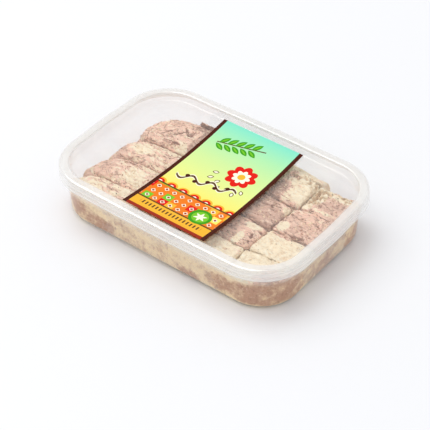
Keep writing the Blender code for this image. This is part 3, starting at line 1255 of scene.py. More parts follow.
@dataclass(frozen=True)
class Label:
    """The printed label: a thin sheet that follows the lid's hanging panel."""

    lid: Lid
    lift: float = 0.4 * MM
    sheet: float = 0.3 * MM
    shift: float = 0.8 * MM
    cells_across: int = 24
    cells_along: int = 44

    def build(self) -> bpy.types.Object:
        """The finished label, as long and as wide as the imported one.

        Returns:
            The piece.
        """
        low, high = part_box("label")
        low.y, high.y = low.y + self.shift, high.y + self.shift
        across = np.linspace(low.x, high.x, self.cells_across + 1)
        along = np.linspace(low.y, high.y, self.cells_along + 1)
        x, y = (grid.ravel() for grid in np.meshgrid(across, along))
        under = self.lid.panel_height(x, y) + self.lift
        lower = np.column_stack([x, y, under])
        upper = np.column_stack([x, y, under + self.sheet])
        count = len(x)
        wide = self.cells_across + 1
        rows, columns = (grid.ravel() for grid in np.mgrid[0 : self.cells_along, 0 : self.cells_across])
        corner = rows * wide + columns
        quads = np.column_stack([corner, corner + 1, corner + wide + 1, corner + wide])
        rim = self.rim(wide, self.cells_along + 1)
        after = np.roll(rim, -1)
        sides = np.column_stack([rim, after, after + count, rim + count])
        faces = [*quads[:, ::-1].tolist(), *(quads + count).tolist(), *sides.tolist()]
        mesh = bpy.data.meshes.new("printed_label")
        mesh.from_pydata(np.vstack([lower, upper]).tolist(), [], faces)
        smooth(mesh, 30)
        finish = LabelFinish("label_film", (low.x + high.x) / 2, high.x - low.x, high.y - low.y)
        piece = add_piece("printed_label", mesh, finish.make())
        carry(piece, "label_print", "label")
        return piece

    @staticmethod
    def rim(wide: int, deep: int) -> np.ndarray:
        """Indices round a grid's edge, anticlockwise.

        Args:
            wide: How many points lie along the front.
            deep: How many lie along a side.

        Returns:
            The indices.
        """
        front = np.arange(wide)
        right = np.arange(1, deep) * wide + wide - 1
        back = (deep - 1) * wide + np.arange(wide - 2, -1, -1)
        left = np.arange(deep - 2, 0, -1) * wide
        return np.concatenate([front, right, back, left])


# ----------------------------------------------------------------------------------------------------- halva

# The back row's back edge, and the seams between the rows, at the left, middle and right logs: how far they
# lie behind the pack's middle, in millimetres.
BACK_EDGE = (43.2, 43.8, 39.5)
BACK_SEAM = (16.4, 16.4, 16.4)
MIDDLE_SEAM = (-6.2, -8.6, -8.6)
FRONT_SEAM = (-30.4, -31.8, -31.8)


@dataclass(frozen=True)
class Row:
    """One row of three logs, in millimetres: where they end, how round they are and how much cocoa."""

    name: str
    fronts: tuple[float, float, float] | None
    backs: tuple[float, float, float]
    left_end: float
    joints: tuple[float, float]
    round: float
    crowns: tuple[float, float, float]
    cocoa: tuple[float, float, float]


@dataclass(frozen=True)
class Log:
    """One log of halva: its crown's rectangle, its height and how much of it is cocoa."""

    node: str
    left: float
    right: float
    front: float
    back: float
    height: float
    crown: float
    round: float
    cocoa: float
    leans_left: bool = False
    leans_back: bool = False

    def middle(self) -> float:
        """The middle of its width."""
        return (self.front + self.back) / 2


@dataclass(frozen=True)
class Swirl:
    """A patch of more or less cocoa, with its middle and reach in millimetres; one of them lays a painted
    shadow of the label.
    """

    middle: tuple[float, float, float]
    reach: tuple[float, float, float]
    cocoa: float

    def weight(self, points: np.ndarray) -> np.ndarray:
        """How far each point lies in the patch, from 0 to 1."""
        apart = (points / MM - np.array(self.middle)) / np.array(self.reach)
        return 1 - ease(np.linalg.norm(apart, axis=1), 0.55, 1.15)


@dataclass(frozen=True)
class Crack:
    """A crevice or pit in the crowns, as a line in plan, in millimetres."""

    start: tuple[float, float]
    end: tuple[float, float]
    width: float
    depth: float

    def share(self, points: np.ndarray) -> np.ndarray:
        """How far each point lies in the crevice, from 0 to 1.

        Args:
            points: Points as rows of x, y and z.

        Returns:
            The shares.
        """
        place = points[:, :2] / MM
        start, along = np.array(self.start), np.array(self.end) - np.array(self.start)
        reach = np.clip((place - start) @ along / max(along @ along, 1e-9), 0, 1)
        apart = np.linalg.norm(place - start - reach[:, None] * along, axis=1)
        return 1 - ease(apart, 0.0, self.width)


def ease(value: np.ndarray, low: float, high: float) -> np.ndarray:
    """Rises smoothly from 0 at low to 1 at high."""
    share = np.clip((value - low) / (high - low), 0, 1)
    return share * share * (3 - 2 * share)


class BoxSurface:
    """The divided surface of a box, with shared points."""

    def __init__(self, xs: np.ndarray, ys: np.ndarray, zs: np.ndarray) -> None:
        """Lays the points and faces of all six sides.

        Args:
            xs: Where it is divided along x.
            ys: Where it is divided along y.
            zs: Where it is divided along z.
        """
        axes = (xs, ys, zs)
        corners, self.faces = [], []
        for axis in range(3):
            one, two = (index for index in range(3) if index != axis)
            for side in (0, len(axes[axis]) - 1):
                a, b = (g.ravel() for g in np.mgrid[0 : len(axes[one]) - 1, 0 : len(axes[two]) - 1])
                turns = ((0, 0), (1, 0), (1, 1), (0, 1))
                outwards = (side > 0) == (axis != 1)
                for step_a, step_b in turns if outwards else reversed(turns):
                    place = np.zeros((len(a), 3), int)
                    place[:, axis], place[:, one], place[:, two] = side, a + step_a, b + step_b
                    corners.append(place)
        steps = np.array([1, len(xs), len(xs) * len(ys)])
        sizes = [len(corner) for corner in corners]
        keys = np.concatenate([corner @ steps for corner in corners])
        kept, index = np.unique(keys, return_inverse=True)
        start = 0
        for side in range(6):
            size = sizes[side * 4]
            block = index[start : start + 4 * size].reshape(4, size).T
            self.faces += block.tolist()
            start += 4 * size
        i, j, k = kept % len(xs), kept // len(xs) % len(ys), kept // (len(xs) * len(ys))
        self.points = np.column_stack([xs[i], ys[j], zs[k]])


@dataclass(frozen=True)
class Filling:
    """The halva: four rows along the pack, each cut into three lumpy logs, and a broken chip."""

    tub: Tub
    rows: tuple[Row, ...] = (
        Row("row1", BACK_SEAM, BACK_EDGE, -69.6, (8.0, 53.8), 18, (8.0, 3.4, 2.8), (0.72, 0.34, 0.84)),
        Row("row2", MIDDLE_SEAM, BACK_SEAM, -70.6, (8.6, 51.4), 10, (7.0, 3.2, 2.8), (0.56, 0.98, 0.86)),
        Row("row3", FRONT_SEAM, MIDDLE_SEAM, -70.2, (7.4, 52.0), 14, (8.0, 3.2, 2.8), (0.60, 0.76, 0.04)),
        Row("row4", None, FRONT_SEAM, -70.0, (8.2, 51.4), 9, (6.0, 2.8, 2.8), (0.42, 0.20, 0.04)),
    )
    sunk_seams: tuple[tuple[float, float], ...] = ((BACK_SEAM[2] * MM, 0.92), (FRONT_SEAM[2] * MM, 0.80))
    seam_start: float = 53.0 * MM
    seam_reach: float = 9.0 * MM
    gap: float = 0.04 * MM
    foot: float = 1.2 * MM
    end_lean: float = 11.0 * MM
    back_lean: float = 10.0 * MM
    lean_reach: float = 22.0 * MM
    nose: float = 0.18
    droop: float = 1.5 * MM
    press: float = -0.15 * MM
    press_full: float = 4.5 * MM
    press_reach: float = 8.0 * MM
    press_top: tuple[float, float] = (-1.0 * MM, 4.0 * MM)
    bite: float = 1.0 * MM
    lump: float = 16.0 * MM
    wander: float = 1.0 * MM
    wander_lengths: tuple[float, float] = (13.0 * MM, 22.0 * MM)
    wander_starts: tuple[float, float] = (0.6, 1.9)
    cell: float = 0.52 * MM
    swirls: tuple[Swirl, ...] = (
        Swirl((-40, 17, 25), (7, 7, 6), 0.15),
        Swirl((-40, 45, 20), (8, 6, 12), 1.30),
        # A narrow dark strip along the label's left edge: painted shadow of the label, laid as cocoa.
        Swirl((-35, 30, 25), (3, 14, 8), 1.05),
        Swirl((-60, 4, 25), (9, 6, 7), 0.10),
        Swirl((-74, -2, 20), (6, 10, 12), 0.85),
        Swirl((-57, -9, 25), (9, 3, 5), 0.80),
        Swirl((-40, -8, 25), (9, 5, 5), 0.15),
        Swirl((-69, -24, 25), (10, 12, 9), 0.85),
        Swirl((-46, -22, 25), (9, 9, 7), 0.25),
        Swirl((-66, -57, 12), (11, 12, 9), 0.95),
        Swirl((-46, -57, 6), (15, 9, 7), 0.95),
        Swirl((-46, -57, 17), (8, 9, 4), 0.20),
        Swirl((-80, -40, 8), (10, 16, 12), 0.85),
        Swirl((34, 25, 25), (6, 11, 8), 1.10),
        Swirl((36, 16, 25), (5, 4, 8), 1.30),
        Swirl((47, 15, 25), (7, 4, 5), 0.80),
        Swirl((50, 26, 25), (7, 7, 6), 0.0),
        Swirl((44, 40, 24), (20, 7, 9), 0.0),
        Swirl((34, 42, 24), (5, 4, 9), 0.85),
        Swirl((68, 28, 25), (13, 8, 7), 0.92),
        Swirl((70, 38, 24), (18, 3, 9), 0.05),
        Swirl((58, 20, 25), (4, 5, 6), 0.20),
        Swirl((68, 20, 25), (12, 1.6, 5), 0.35),
        Swirl((36, 4, 25), (8, 9, 8), 0.98),
        Swirl((51, 10, 25), (5, 4, 6), 0.35),
        Swirl((68, 12, 25), (12, 6, 6), 0.72),
        Swirl((57, -4, 25), (4, 6, 7), 0.05),
        Swirl((42, -13, 25), (7, 4, 5), 0.0),
        Swirl((40, -27, 25), (3, 9, 6), 0.15),
        Swirl((62, -11, 25), (9, 3, 5), 0.70),
        Swirl((25, -57, 5), (10, 9, 5), 0.80),
        Swirl((48, -57, 11), (14, 9, 8), 0.90),
        Swirl((66, -56, 11), (12, 10, 10), 0.95),
        Swirl((78, -48, 15), (15, 15, 16), 1.00),
        Swirl((87, -34, 12), (8, 14, 14), 0.95),
        Swirl((87, -16, 10), (7, 10, 9), 0.60),
        Swirl((87, -4, 16), (7, 8, 5), 0.30),
        Swirl((87, 3, 12), (7, 5, 6), 1.00),
        Swirl((87, 16, 8), (7, 9, 8), 0.45),
        Swirl((87, 28, 14), (8, 8, 8), 0.50),
        Swirl((85, 36, 8), (8, 7, 8), 1.00),
    )
    tears: tuple[Swirl, ...] = (
        Swirl((46, 41, 25), (17, 5, 9), 0.05),
        Swirl((59, 33, 25), (6, 10, 9), 0.1),
        Swirl((72, 39, 25), (14, 4, 9), 0.0),
        Swirl((34, 40, 25), (5, 5, 9), 0.6),
    )
    pit: float = 1.9 * MM
    pit_depth: float = 2.8 * MM
    pit_edge: tuple[float, float] = (0.57, 0.68)
    cracks: tuple[Crack, ...] = (
        Crack((-50, 37), (-44, 31), 1.0, 1.0),
        Crack((-43, 31), (-42, 32), 1.2, 1.6),
        Crack((-52, 27), (-46, 34), 0.9, 0.8),
        Crack((-60, 24), (-55, 31), 0.9, 0.8),
        Crack((-48, 20.5), (-43, 21), 1.2, 1.0),
        Crack((-66, -34), (-61, -33), 1.8, 1.8),
        Crack((-58, -40.5), (-57, -40), 1.4, 1.5),
        Crack((-60, -13), (-53, -11.5), 1.5, 1.5),
        Crack((51, 40), (56, 38), 1.8, 2.4),
        Crack((56, 38), (57.5, 30), 2.2, 3.5),
        Crack((57.5, 30), (57, 24), 1.8, 3.0),
        Crack((61, 39.5), (63, 38), 2.2, 2.4),
        Crack((48, -15), (49, -16), 1.5, 2.0),
        Crack((45, -20), (47, -23), 1.4, 1.6),
        Crack((47, -26), (48, -27.5), 1.3, 1.5),
        Crack((36, 15), (42, 15), 1.6, 1.6),
        Crack((40, 9), (41, 7), 1.2, 1.2),
        Crack((66, -9), (74, -7), 1.0, 1.0),
        Crack((40, -40.5), (41, -40), 1.2, 1.2),
    )

    def logs(self) -> list[Log]:
        """Every log, from the back row to the front one and from left to right.

        Returns:
            The logs.
        """
        half_x, half_y = self.tub.plan.half_sides(0.0)
        inset = float(self.tub.inner_inset(np.array([self.tub.shoulder / 2]))[0])
        wall_x, wall_y = half_x - inset, half_y - inset
        made = []
        for row in self.rows:
            edges = (row.left_end * MM, *(joint * MM for joint in row.joints), wall_x)
            for index, place in enumerate(("left", "middle", "right")):
                node = f"halva_{row.name}_{place}"
                is_back = row.name == "row1"
                front = -wall_y if row.fronts is None else row.fronts[index] * MM + self.gap / 2
                made.append(
                    Log(
                        node=node,
                        left=edges[index] + self.gap / 2,
                        right=edges[index + 1] - (0.0 if place == "right" else self.gap / 2),
                        front=front,
                        back=row.backs[index] * MM - (0.0 if is_back else self.gap / 2),
                        height=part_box(node)[1].z,
                        crown=row.crowns[index] * MM,
                        round=row.round * MM,
                        cocoa=row.cocoa[index],
                        leans_left=place == "left",
                        leans_back=is_back,
                    )
                )
        return made

    def way_out(self, points: np.ndarray) -> np.ndarray:
        """How far, and which way, each point lies past the plan's core: the box that its corners turn about.

        Args:
            points: Points as rows of x, y and z.

        Returns:
            The level way to each point from the core's nearest place, 0 inside it.
        """
        plan = self.tub.plan
        half_x, half_y = plan.half_sides(plan.corner)
        past = np.zeros_like(points)
        for axis, half in enumerate((half_x, half_y)):
            past[:, axis] = points[:, axis] - np.clip(points[:, axis], -half, half)
        return past

    def hold_inside(self, points: np.ndarray, clearance: np.ndarray | float) -> np.ndarray:
        """Presses points back to the tub's inner wall, less a clearance, where they lie past it.

        Args:
            points: Points as rows of x, y and z.
            clearance: How far inside the wall they have to lie.

        Returns:
            The moved points.
        """
        past = self.way_out(points)
        reach = np.linalg.norm(past, axis=1)
        radius = self.tub.plan.corner - self.tub.inner_inset(points[:, 2]) - clearance
        factor = np.where(reach > radius, radius / np.maximum(reach, 1e-9), 1.0)
        return points + past * (factor - 1)[:, None]

    def wall_gap(self, points: np.ndarray) -> np.ndarray:
        """How far each point lies inside the tub's inner wall."""
        reach = np.linalg.norm(self.way_out(points), axis=1)
        return self.tub.plan.corner - self.tub.inner_inset(points[:, 2]) - reach

    def backing(self, points: np.ndarray, gap: np.ndarray) -> np.ndarray:
        """How firmly each point is pressed to the wall under its shoulder, from 0 to 1."""
        start, end = (self.tub.shoulder + step for step in self.press_top)
        return (1 - ease(gap, self.press_full, self.press_reach)) * (1 - ease(points[:, 2], start, end))

    def round_off(self, points: np.ndarray, log: Log) -> np.ndarray:
        """Turns a log's free back left corner in plan, as a square is drawn in to a disc.

        Args:
            points: Points as rows of x, y and z.
            log: The log.

        Returns:
            The moved points.
        """
        if not log.leans_left:
            return points
        along = np.clip((log.left + log.round - points[:, 0]) / log.round, 0, 1)
        across = np.clip((points[:, 1] - log.back + log.round) / log.round, 0, 1)
        moved = points.copy()
        moved[:, 0] += log.round * along * (1 - np.sqrt(1 - across**2 / 2))
        moved[:, 1] -= log.round * across * (1 - np.sqrt(1 - along**2 / 2))
        return moved

    def melt(self, points: np.ndarray) -> np.ndarray:
        """How much of the logs' rounding is left where two of them have sunk into one another.

        Args:
            points: Points as rows of x, y and z.

        Returns:
            The share that is left at each point.
        """
        left = np.ones(len(points))
        for middle, depth in self.sunk_seams:
            near = 1 - ease(abs(points[:, 1] - middle), self.seam_reach / 2, self.seam_reach)
            left -= depth * near * ease(points[:, 0], self.seam_start, self.seam_start + self.seam_reach)
        return left

    def lean(self, points: np.ndarray, log: Log) -> np.ndarray:
        """Spreads a log's left end, drawn in to a nose, and the back row's back, most at the foot.

        Args:
            points: Points as rows of x, y and z.
            log: The log.

        Returns:
            The moved points.
        """
        spread = np.sqrt(np.clip(1 - (points[:, 2] / log.height) ** 2, 0, 1))
        moved = points.copy()
        if log.leans_left:
            share = np.clip((log.left + self.lean_reach - points[:, 0]) / self.lean_reach, 0, 1)
            moved[:, 0] -= self.end_lean * spread * share
            moved[:, 1] += (log.middle() - moved[:, 1]) * self.nose * share**2
            moved[:, 2] -= self.droop * points[:, 2] / log.height * share**2
        if log.leans_back:
            share = np.clip((points[:, 1] - log.back + self.lean_reach) / self.lean_reach, 0, 1)
            moved[:, 1] += self.back_lean * spread * share
        return moved

    def stray(self, points: np.ndarray) -> np.ndarray:
        """One smooth drift of the whole filling, so that no groove is straight and none cross.

        Args:
            points: Points as rows of x, y and z.

        Returns:
            The moved points.
        """
        moved = points.copy()
        for axis, (length, start) in enumerate(zip(self.wander_lengths, self.wander_starts)):
            moved[:, axis] += self.wander * np.sin(points[:, 1 - axis] / length + start)
        return moved

    def shape_log(self, points: np.ndarray, log: Log, floor: float) -> np.ndarray:
        """Points of a log's box moved onto the log's rounded, bitten surface inside the tub.

        Args:
            points: Points on the box's sides.
            log: The log.
            floor: Height of the tub's floor.

        Returns:
            The moved points.
        """
        rise = (points[:, 2] - floor) / (log.height - floor)
        square = ease(points[:, 0], log.left, log.left + self.lean_reach) if log.leans_left else 1.0
        bend = rise + (ease(rise, 0.45, 1.0) - rise) * square
        melt = self.melt(points)
        radius = (self.foot + (log.crown - self.foot) * bend) * melt
        core = np.column_stack(
            [
                np.clip(points[:, 0], log.left + radius, log.right - radius),
                np.clip(points[:, 1], log.front + radius, log.back - radius),
                np.clip(points[:, 2], floor + self.foot, log.height - np.minimum(log.crown, radius)),
            ]
        )
        core = self.hold_inside(core, self.press + radius)
        outward = points - core
        outward /= np.linalg.norm(outward, axis=1)[:, None]
        rough = [0.5 + 0.5 * noise.fractal(Vector(p) / self.lump, 0.8, 2.2, 2) for p in points]
        backed = self.backing(points, self.wall_gap(points))
        bite = self.bite * np.clip(rough, 0, 1) * np.minimum(1, 1 + outward[:, 2]) * (1 - backed) * melt
        rounded = self.round_off(core + outward * (radius - bite)[:, None], log)
        moved = self.stray(self.lean(rounded, log))
        return self.hold_inside(moved, self.press)

    def press_out(self, points: np.ndarray) -> tuple[np.ndarray, np.ndarray]:
        """Pushes what lies close to the wall out to it.

        Args:
            points: Points of a log's surface.

        Returns:
            The moved points, and how firmly each is pressed to the wall, from 0 to 1.
        """
        gap = self.wall_gap(points) - self.press
        pressed = self.backing(points, gap)
        past = self.way_out(points)
        reach = np.maximum(np.linalg.norm(past, axis=1), 1e-9)
        return points + past / reach[:, None] * (gap * pressed)[:, None], pressed

    def cocoa_at(self, points: np.ndarray, base: float) -> np.ndarray:
        """How much cocoa there is at each point.

        Args:
            points: Points as rows of x, y and z.
            base: The log's own share of cocoa.

        Returns:
            The shares.
        """
        share = np.full(len(points), base)
        for swirl in (*self.swirls, *self.tears):
            weight = swirl.weight(points)
            share += (swirl.cocoa - share) * weight
        return share

    def open_cracks(self, points: np.ndarray, log: Log) -> tuple[np.ndarray, np.ndarray]:
        """Sinks a crown along its crevices, and pits it where it is torn.

        Args:
            points: Points of the log's surface.
            log: The log.

        Returns:
            The moved points, and how deep each lies in a crevice, from 0 to 1.
        """
        crown = ease(points[:, 2], log.height - log.crown, log.height - 0.3 * log.crown)
        hollow = np.zeros(len(points))
        moved = points.copy()
        for crack in self.cracks:
            share = crack.share(points) * crown
            moved[:, 2] -= share * crack.depth * MM
            hollow = np.maximum(hollow, share)
        torn = np.max([tear.weight(points) for tear in self.tears], axis=0)
        for index in np.nonzero(torn > 0.02)[0]:
            rough = 0.5 + 0.5 * noise.fractal(Vector(points[index]) / self.pit, 0.9, 2.1, 3)
            pit = torn[index] * float(ease(np.array(rough), *self.pit_edge))
            moved[index, 2] -= pit * self.pit_depth
            hollow[index] = max(hollow[index], pit)
        return moved, hollow

    def stations(self, low: float, high: float, low_radius: float, high_radius: float) -> np.ndarray:
        """Where a log's surface is divided along one axis, evenly along its fillets too.

        Args:
            low: Where the log starts.
            high: Where it ends.
            low_radius: Its fillet at the start.
            high_radius: Its fillet at the end.

        Returns:
            The stations.
        """
        first, last = low + low_radius, high - high_radius
        turns = [
            np.tan(np.linspace(-math.pi / 4, 0, max(3, round(radius * 1.1 / self.cell)) + 1))
            for radius in (low_radius, high_radius)
        ]
        between = np.linspace(first, last, max(2, round((last - first) / self.cell)) + 1)
        start = first + turns[0] * low_radius
        end = last - turns[1][::-1] * high_radius
        return np.concatenate([start[:-1], between, end[1:]])

    def log_mesh(self, log: Log) -> bpy.types.Mesh:
        """The closed mesh of one log before its relief.

        Args:
            log: The log.

        Returns:
            The mesh.
        """
        floor = self.tub.sheet
        xs = self.stations(log.left, log.right, log.crown, log.crown)
        ys = self.stations(log.front, log.back, log.crown, log.crown)
        zs = self.stations(floor, log.height, self.foot, log.crown)
        box = BoxSurface(xs, ys, zs)
        points = self.shape_log(box.points, log, floor)
        points, pressed = self.press_out(points)
        cocoa = self.cocoa_at(points, log.cocoa)
        points, hollow = self.open_cracks(points, log)
        return self.as_mesh(log.node, points, box.faces, pressed, cocoa, hollow)

    @staticmethod
    def as_mesh(
        name: str, points: np.ndarray, faces: list[list[int]], pressed: np.ndarray, cocoa: np.ndarray,
        hollow: np.ndarray
    ) -> bpy.types.Mesh:
        """A mesh that keeps what the relief and the finish read.

        Args:
            name: The mesh's name.
            points: Its points.
            faces: Its faces.
            pressed: How firmly each point is pressed to the wall.
            cocoa: How much cocoa there is.
            hollow: How deep each lies in a crevice.

        Returns:
            The mesh.
        """
        mesh = bpy.data.meshes.new(name)
        mesh.from_pydata(points.tolist(), [], faces)
        keep_number(mesh, "pressed", pressed)
        keep_number(mesh, "cocoa", cocoa)
        keep_number(mesh, "crevice", hollow)
        return mesh


@dataclass(frozen=True)
class Chip:
    """A broken chip of dark halva that stands between the back row's flank and the back wall."""

    filling: Filling
    ends: tuple[float, float] = (-50.5 * MM, -34.0 * MM)
    foot: float = 3.5 * MM
    height: float = 24.5 * MM
    drop: float = 3.5 * MM
    rag: float = 2.6 * MM
    taper: float = 0.35
    gap: float = 0.8 * MM
    slope: float = 0.6
    squareness: float = 5.0
    cocoa: float = 1.25
    cells: tuple[int, int, int] = (30, 18, 40)

    def mesh(self) -> bpy.types.Mesh:
        """The closed mesh of the chip before its relief.

        Returns:
            The mesh.
        """
        steps = [np.linspace(-1, 1, count + 1) for count in self.cells]
        box = BoxSurface(*steps)
        power = self.squareness
        norm = np.sum(np.abs(box.points) ** power, axis=1) ** (1 / power)
        along, across, rise = (box.points / norm[:, None]).T
        x = sum(self.ends) / 2 + along * (self.ends[1] - self.ends[0]) / 2
        z = self.foot + (rise + 1) / 2 * (self.height - self.foot)
        spots = zip(x, across * self.rag, z)
        ragged = np.array([0.5 + 0.5 * noise.noise(Vector(spot) / self.rag) for spot in spots])
        x += (sum(self.ends) / 2 - x) * self.taper * (z / self.height) ** 3 * ragged
        z -= self.drop * np.maximum(0, z / self.height - 0.5) * (ragged + np.abs(across))
        flank, wall = self.bounds(x, z)
        wall += (flank - wall) * self.slope * ease(z, 0.35 * self.height, self.height)
        points = np.column_stack([x, flank + (wall - flank) * (across + 1) / 2, z])
        still = np.zeros(len(points))
        return Filling.as_mesh("cocoa_chip", points, box.faces, still, still + self.cocoa, still)

    def bounds(self, x: np.ndarray, z: np.ndarray) -> tuple[np.ndarray, np.ndarray]:
        """Where the back row's flank and the back wall stand at each place along the pack.

        Args:
            x: Places along the pack.
            z: Heights.

        Returns:
            How far back the flank and the wall are.
        """
        log = self.filling.logs()[0]
        spread = np.sqrt(np.clip(1 - (z / log.height) ** 2, 0, 1))
        flank = np.column_stack([x, log.back + self.filling.back_lean * spread, z])
        wall = np.column_stack([x, np.full(len(x), self.filling.tub.plan.width), z])
        return (
            self.filling.stray(flank)[:, 1] + self.gap,
            self.filling.hold_inside(wall, self.gap)[:, 1],
        )


# ------------------------------------------------------------------------------------------- geometry trees


class Tree:
    """A Geometry Nodes tree that takes one mesh and gives another, with named inputs."""

    def __init__(self, name: str, **defaults: float) -> None:
        """Makes the tree with a geometry and a material input, and one number for each default.

        Args:
            name: The tree's name.
            **defaults: Its number inputs, and what they are unless a run says otherwise.
        """
        self.tree = bpy.data.node_groups.new(name, "GeometryNodeTree")
        sockets = self.tree.interface
        sockets.new_socket("Geometry", in_out="INPUT", socket_type="NodeSocketGeometry")
        sockets.new_socket("Finish", in_out="INPUT", socket_type="NodeSocketMaterial")
        for key, value in defaults.items():
            kind = "NodeSocketInt" if isinstance(value, int) else "NodeSocketFloat"
            sockets.new_socket(key, in_out="INPUT", socket_type=kind).default_value = value
        sockets.new_socket("Geometry", in_out="OUTPUT", socket_type="NodeSocketGeometry")
        self.graph = Graph(self.tree)
        self.inputs = self.tree.nodes.new("NodeGroupInput")

    def input(self, name: str) -> Value:
        """One of the tree's inputs."""
        return Value(self.graph, self.inputs.outputs[name])

    def named(self, name: str) -> Value:
        """A number that the mesh keeps at each point."""
        settings = {"data_type": "FLOAT"}
        return self.graph.add("GeometryNodeInputNamedAttribute", settings, {"Name": name}, "Attribute")

    def finish(self, geometry: Value) -> None:
        """Ends the tree: realizes its instances and sets its material.

        Args:
            geometry: What the tree has made.
        """
        solid = self.graph.add("GeometryNodeRealizeInstances", {}, {"Geometry": geometry})
        finish = {"Geometry": solid, "Material": self.input("Finish")}
        dressed = self.graph.add("GeometryNodeSetMaterial", {}, finish)
        self.graph.node("NodeGroupOutput", {}, {"Geometry": dressed})

    def run(
        self, name: str, mesh: bpy.types.Mesh, finish: bpy.types.Material, **values: float
    ) -> bpy.types.Object:
        """Runs the tree on a mesh.

        Args:
            name: The new piece's name.
            mesh: The mesh that goes in, which is used up.
            finish: The material that the tree sets.
            **values: Inputs that differ from their defaults.

        Returns:
            The piece, as a plain mesh at the origin.
        """
        worker = add_piece(f"{name}_worker", mesh)
        modifier = worker.modifiers.new(name, "NODES")
        modifier.node_group = self.tree
        sockets = {s.name: s.identifier for s in self.tree.interface.items_tree if s.in_out == "INPUT"}
        modifier[sockets["Finish"]] = finish
        for key, value in values.items():
            modifier[sockets[key]] = value
        depsgraph = bpy.context.evaluated_depsgraph_get()
        made = bpy.data.meshes.new_from_object(
            worker.evaluated_get(depsgraph), preserve_all_data_layers=True, depsgraph=depsgraph
        )
        bpy.data.objects.remove(worker, do_unlink=True)
        bpy.data.meshes.remove(mesh)
        made.name = name
        return add_piece(name, made)


class ReliefTree(Tree):
    """Folds, pulled fibres and crumb on a log's surface, shallow where it is pressed to the wall; how hollow
    each point lies is kept for the finish's painted shade.
    """

    def __init__(self) -> None:
        """Builds the tree."""
        super().__init__(
            "halva_relief",
            Fold=1.3 * MM,
            FoldSize=7.0 * MM,
            Fibre=0.7 * MM,
            FibreSize=3.6 * MM,
            Crumb=0.38 * MM,
            CrumbSize=1.1 * MM,
            PressedShare=0.12,
        )
        graph = self.graph
        place = graph.add("GeometryNodeInputPosition", {}, {})
        pressed, crevice = self.named("pressed"), self.named("crevice")
        pulled = graph.drift(place, 10 * MM, 9 * MM)
        fold = self.noise_at(place, "FoldSize", 2.0)
        fibre = self.noise_at(pulled * (0.4, 1.0, 1.0), "FibreSize", 3.0)
        crease = (1 - abs(fibre * 2 - 1)) ** 7
        crumb = self.noise_at(pulled, "CrumbSize", 2.0)
        rough = 1 + crevice * 2.5
        height = (fold - 0.5) * self.input("Fold") - crease * self.input("Fibre")
        height = height + (crumb - 0.5) * self.input("Crumb") * rough
        free = 1 - pressed * (1 - self.input("PressedShare"))
        normal = graph.add("GeometryNodeInputNormal", {}, {}, "Normal")
        moved = {"Geometry": self.input("Geometry"), "Offset": normal * (height * free)}
        sunk = graph.add("GeometryNodeSetPosition", {}, moved)
        # How deep each point lies in a crease, a low fold or a crevice, which the finish darkens as painted
        # shade.
        hollow = (crease * 0.56 * free + (0.5 - fold) * 0.5 + crevice * crevice).most(0.0).least(1.0)
        kept = graph.add(
            "GeometryNodeStoreNamedAttribute",
            {"data_type": "FLOAT", "domain": "POINT"},
            {"Geometry": sunk, "Name": "hollow", "Value": hollow},
        )
        self.finish(kept)

    def noise_at(self, place: Triple, size: str, detail: float) -> Value:
        """Noise whose features are as large as a named input."""
        sockets = {"Vector": place, "Scale": 1 / self.input(size), "Detail": detail}
        return self.graph.add("ShaderNodeTexNoise", {"noise_dimensions": "3D"}, sockets)


